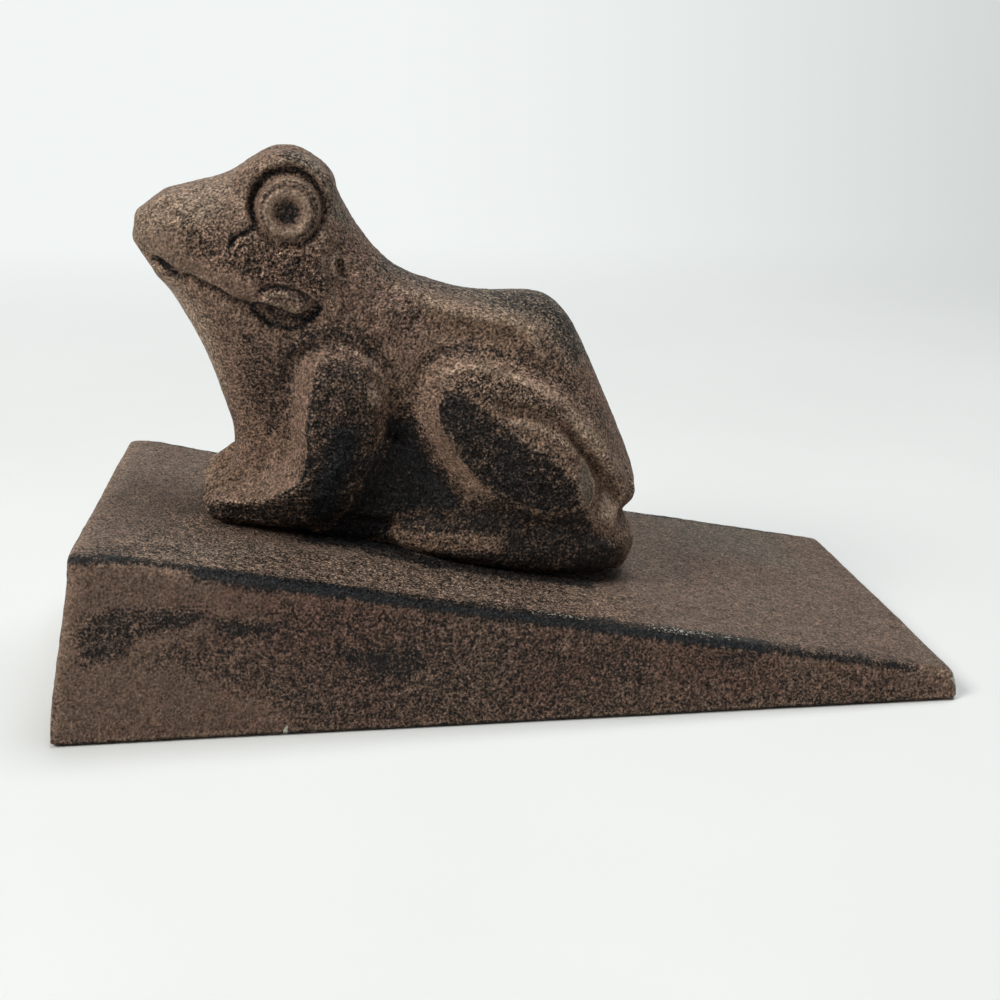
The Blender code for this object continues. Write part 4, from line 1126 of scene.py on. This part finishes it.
NECK_SIDE = [(-29.0, 45.0), (-21.0, 46.0), (-19.0, 39.0), (-26.0, 36.0)]
ABOVE_EYE = [(-48.5, 61.0), (-44.5, 61.2), (-43.0, 62.8), (-46.0, 63.4), (-49.0, 62.8)]
ARM_PATCH = [(-29.4, 27.3), (-27.7, 28.6), (-26.5, 26.4), (-26.3, 24.4), (-28.2, 25.1)]
KNEE_CAP = [(-16.9, 30.4), (-14.6, 33.0), (-10.8, 33.8), (-6.0, 33.0), (-1.0, 31.6), (3.6, 29.8), (4.4, 28.0),
            (-1.0, 28.4), (-5.6, 28.8), (-9.3, 28.0), (-13.2, 29.4)]
BACK_TOP = [(-30.0, 49.0), (-22.0, 47.0), (-9.7, 47.5), (0.0, 48.0), (4.5, 44.0), (8.0, 37.3), (4.0, 37.0),
            (-1.3, 42.4), (-9.0, 43.0), (-21.0, 44.4), (-30.0, 46.0)]
BROW = [(-47.5, 62.8), (-42.2, 61.9), (-39.8, 58.5), (-36.7, 54.3), (-35.3, 52.1), (-39.1, 53.8), (-41.1, 59.0),
        (-44.9, 60.7)]
SNOUT_SIDE = [(-70.5, 48.0), (-64.0, 55.5), (-54.0, 58.5), (-53.5, 52.0), (-58.0, 49.0), (-64.0, 46.5), (-70.5, 43.0)]
THROAT = [(-70.0, 40.0), (-62.0, 30.0), (-57.0, 20.0), (-54.0, 12.0), (-50.0, 13.0), (-52.0, 24.0), (-55.0, 34.0),
          (-60.0, 39.0)]
SNOUT_TOP = [(-63.5, 53.4), (-57.6, 54.6), (-55.3, 51.5), (-58.5, 48.8), (-62.5, 49.4)]
SHOULDER = [(-43.2, 52.0), (-36.2, 52.6), (-27.0, 46.0), (-21.0, 42.5), (-22.0, 36.0), (-36.2, 33.0), (-40.5, 38.0)]
KNEE_FRONT = [(-19.0, 25.0), (-15.0, 24.0), (-9.0, 15.0), (-4.0, 11.5), (-8.0, 9.5), (-14.0, 12.0), (-18.0, 18.0)]
BEHIND_ARM = [(-31.6, 19.0), (-33.0, 6.0)]
ARM_BACK_LINE = [(-27.4, 19.0), (-27.6, 14.0), (-29.0, 9.0), (-31.5, 5.5)]
ARM_FRONT = ARM_OUTLINE[:9] + ARM_SIDE_EDGE[:2:-1]
SHIN_SIDE = SHIN_SIDE_EDGE + SHIN_CREST[::-1]
HEEL = HEEL_FRONT + HEEL_BACK[::-1]
SHIN_END = SHIN_END_FRONT + [(10.0, 14.2), (11.0, 13.8)] + SHIN_END_BACK[::-1]
ARM_DARK_SIDE = ARM_SIDE_EDGE + [
    (-35.6, 32.2), (-32.6, 32.2), (-29.6, 30.8), (-27.6, 28.4), (-26.2, 25.6), (-25.2, 21.0), (-24.8, 16.0),
    (-26.0, 9.0), (-29.5, 4.0), (-34.0, 0.0), (-53.0, -0.5), (-53.6, 2.6),
]
# black paint, which is left mostly in the hollows, and painted shade in the hollow before the knee, around the arm
# and on the low side of the hind foot
PAINTED_AND_SHADED_AREAS = [
    (ARM_DARK_SIDE, 1.2, 0.60),
    (ARM_LOWER, 1.5, 0.72),
    (SHIN_SIDE, 0.9, 0.82),
    (SHIN_CREST + SHIN_TOP_EDGE[::-1], 0.8, 0.36),
    (KNEE_CAP, 1.0, 0.48),
    (CRESCENT, 0.3, 0.56),
    (LIP_PLUG, 0.6, 0.30),
    (CHEEK, 1.5, 0.30),
    (CHEEK_BACK, 1.2, 0.42),
    (NECK_PATCH, 1.5, 0.42),
    (FLANK_PATCH, 1.5, 0.40),
    # painted shade in the deep hollow between the arm and the knee
    (SHADED_HOLLOW_BEFORE_KNEE, 2.0, 0.92),
    (SHADED_HOLLOW_TOP, 3.0, 0.62),
    # black paint and painted shade on the low side of the hind foot, which faces down to the ramp
    (LOWER_LEG, 1.3, 0.80),
    (TOE_RIDGE, 1.0, 0.44),
    (BACK_TOP, 2.5, 0.64),
    (BROW, 2.0, 0.38),
    (CHEST, 3.0, 0.52),
    (ABOVE_EYE, 1.2, 0.55),
    (NECK_SIDE, 3.0, 0.36),
]
PAINTED_AND_SHADED_LINES = [
    # painted shade in the hollows behind and around the arm, over its paint
    (ARM_RIM[5:10], 2.6, 0.88),
    (BEHIND_ARM, 10.0, 1.0),
    (ARM_BACK_LINE, 3.0, 0.80),
    (ARM_OUTLINE[2:10], 1.8, 0.60),
    (ARM_RIM[11:18], 3.4, 0.60),
    (KNEE_OUTLINE[1:8], 2.2, 0.60),
    (THIGH_HOLLOW, 2.3, 0.52),
    (ARM_SIDE_EDGE[4:13], 0.8, 0.85),
    (SHIN_SIDE_EDGE[1:10], 0.8, 0.90),
    (PLUG_TOP, 0.9, 0.80),
    (THIGH_FOLD[5:], 1.0, 0.56),
    (THIGH_FOLD[:6], 0.8, 0.30),
    (MOUTH_SLOT, 1.05, 0.95),
    (MOUTH_LINE, 0.7, 0.62),
    (CRESCENT[:8], 0.8, 1.0),
    (CRESCENT[8:] + CRESCENT[:1], 0.5, 0.85),
    (TEAR_LINE, 0.8, 0.95),
    (NOSTRIL, 0.7, 0.7),
    (EAR_HOLLOW, 0.9, 0.6),
]
# skin that hands have rubbed lighter, and painted highlights on the faces that the light falls on most: the bevels
# that face left, the throat, the thigh band and the heel
RUBBED_AND_LIT_AREAS = [
    (ARM_FRONT, 0.7, 0.30),
    (KNEE_OUTLINE + SHIN_SIDE_EDGE[9::-1], 0.9, 0.32),
    (THIGH_CREST[6:] + THIGH_BAND[:4:-1], 0.8, 1.0),
    (LIP_BAND, 0.6, 0.34),
    (FRONT_FOOT, 1.0, 0.34),
    (SNOUT_SIDE, 3.0, 0.42),
    (THROAT, 3.0, 0.84),
    (HEEL, 1.2, 1.0),
    (ARM_PATCH, 0.8, 0.9),
]
RUBBED_AND_LIT_LINES = [
    (THIGH_CREST, 1.4, 0.60),
    (BACK_RIDGE, 1.6, 0.66),
    (ARM_OUTLINE[8:13], 0.8, 0.80),
    (THIGH_BAND[4:], 1.3, 1.0),
    (SHIN_TOP_EDGE, 1.2, 0.80),
    (SHIN_END_BACK, 0.6, 0.85),
    (EAR_RIM, 0.7, 0.7),
]
# skin greyed by age with a painted sheen where it faces up, skin rubbed smooth, and skin as rough as the mould left
# it
GREEN_AND_SHEEN_AREAS = [
    (BACK_TOP, 2.0, 0.75),
    (BROW, 1.5, 0.9),
    (SNOUT_TOP, 1.5, 0.5),
    (SNOUT_SIDE, 3.0, 0.35),
    (SHIN_END, 0.4, 0.9),
]
SMOOTH_AREAS = [
    (KNEE_FRONT, 1.5, 0.8),
    (LOWER_LEG, 1.5, 0.6),
    (LIP_BAND, 0.8, 0.8),
    (SHIN_END, 0.6, 1.0),
    (HEEL, 0.8, 0.7),
    (ARM_FRONT, 0.7, 0.6),
]
ROUGH_AREAS = [
    (SHOULDER, 3.0, 0.28),
    (CHEEK, 1.5, 0.6),
    (CHEEK_BACK, 1.2, 1.0),
    (SHIN_SIDE, 1.0, 0.6),
    (ARM_SIDE_EDGE + ARM_BACK_EDGE, 1.0, 0.5),
    (KNEE_CAP, 1.0, 0.7),
]
place_piece(
    "frog_figure",
    frog_mesh(),
    iron_finish("frog_iron", WARM_BROWN, IRON_RED, RUBBED_AND_LIT_ORANGE, GREY_GREEN_SHEEN, 0.46),
    "frog",
)


# The fixings: two slotted pan-head screws and their washers, zinc-plated steel, driven up from inside the wedge.
# Their shapes are the frame's own, and they get a dull, slightly stained plating.
SCREW_ZINC = (0.42, 0.41, 0.39)
WASHER_ZINC = (0.46, 0.45, 0.43)
STAIN_SCALE = 420.0
FINE_SCALE = 2600.0
STAIN_EDGE = (0.42, 0.68)
STAIN_SHADE = 0.5
PLATING_RELIEF = 0.03 * MM
PLATING_BUMP = 0.4
PLATING_ROUGHNESS = 0.32
STAIN_ROUGHNESS = 0.25


def plated_finish(name, colour):
    """Zinc that has gone darker and duller where it is stained."""
    made, start, shader = new_finish(name)
    place = start.node("ShaderNodeTexCoord", output="Object")
    stain = start.node("ShaderNodeTexNoise", None, {"Vector": place, "Scale": STAIN_SCALE, "Detail": 5.0})
    fine = start.node("ShaderNodeTexNoise", None, {"Vector": place, "Scale": FINE_SCALE, "Detail": 2.0})
    dull = stain.step(*STAIN_EDGE)
    bump = start.node("ShaderNodeBump", None,
                      {"Strength": PLATING_BUMP, "Distance": PLATING_RELIEF, "Height": fine + stain})
    feed(
        shader,
        Base_Color=dull.colour(colour, [c * STAIN_SHADE for c in colour]),
        Roughness=PLATING_ROUGHNESS + dull * STAIN_ROUGHNESS,
        Metallic=1.0,
        Normal=bump,
    )
    return made


screw_plating = plated_finish("screw_steel", SCREW_ZINC)
washer_plating = plated_finish("washer_steel", WASHER_ZINC)
for fixing, plating in (("screw", screw_plating), ("washer", washer_plating)):
    for position in ("front", "rear"):
        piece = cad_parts[f"{position}_{fixing}"]
        for holder in piece.material_slots:
            holder.material = plating
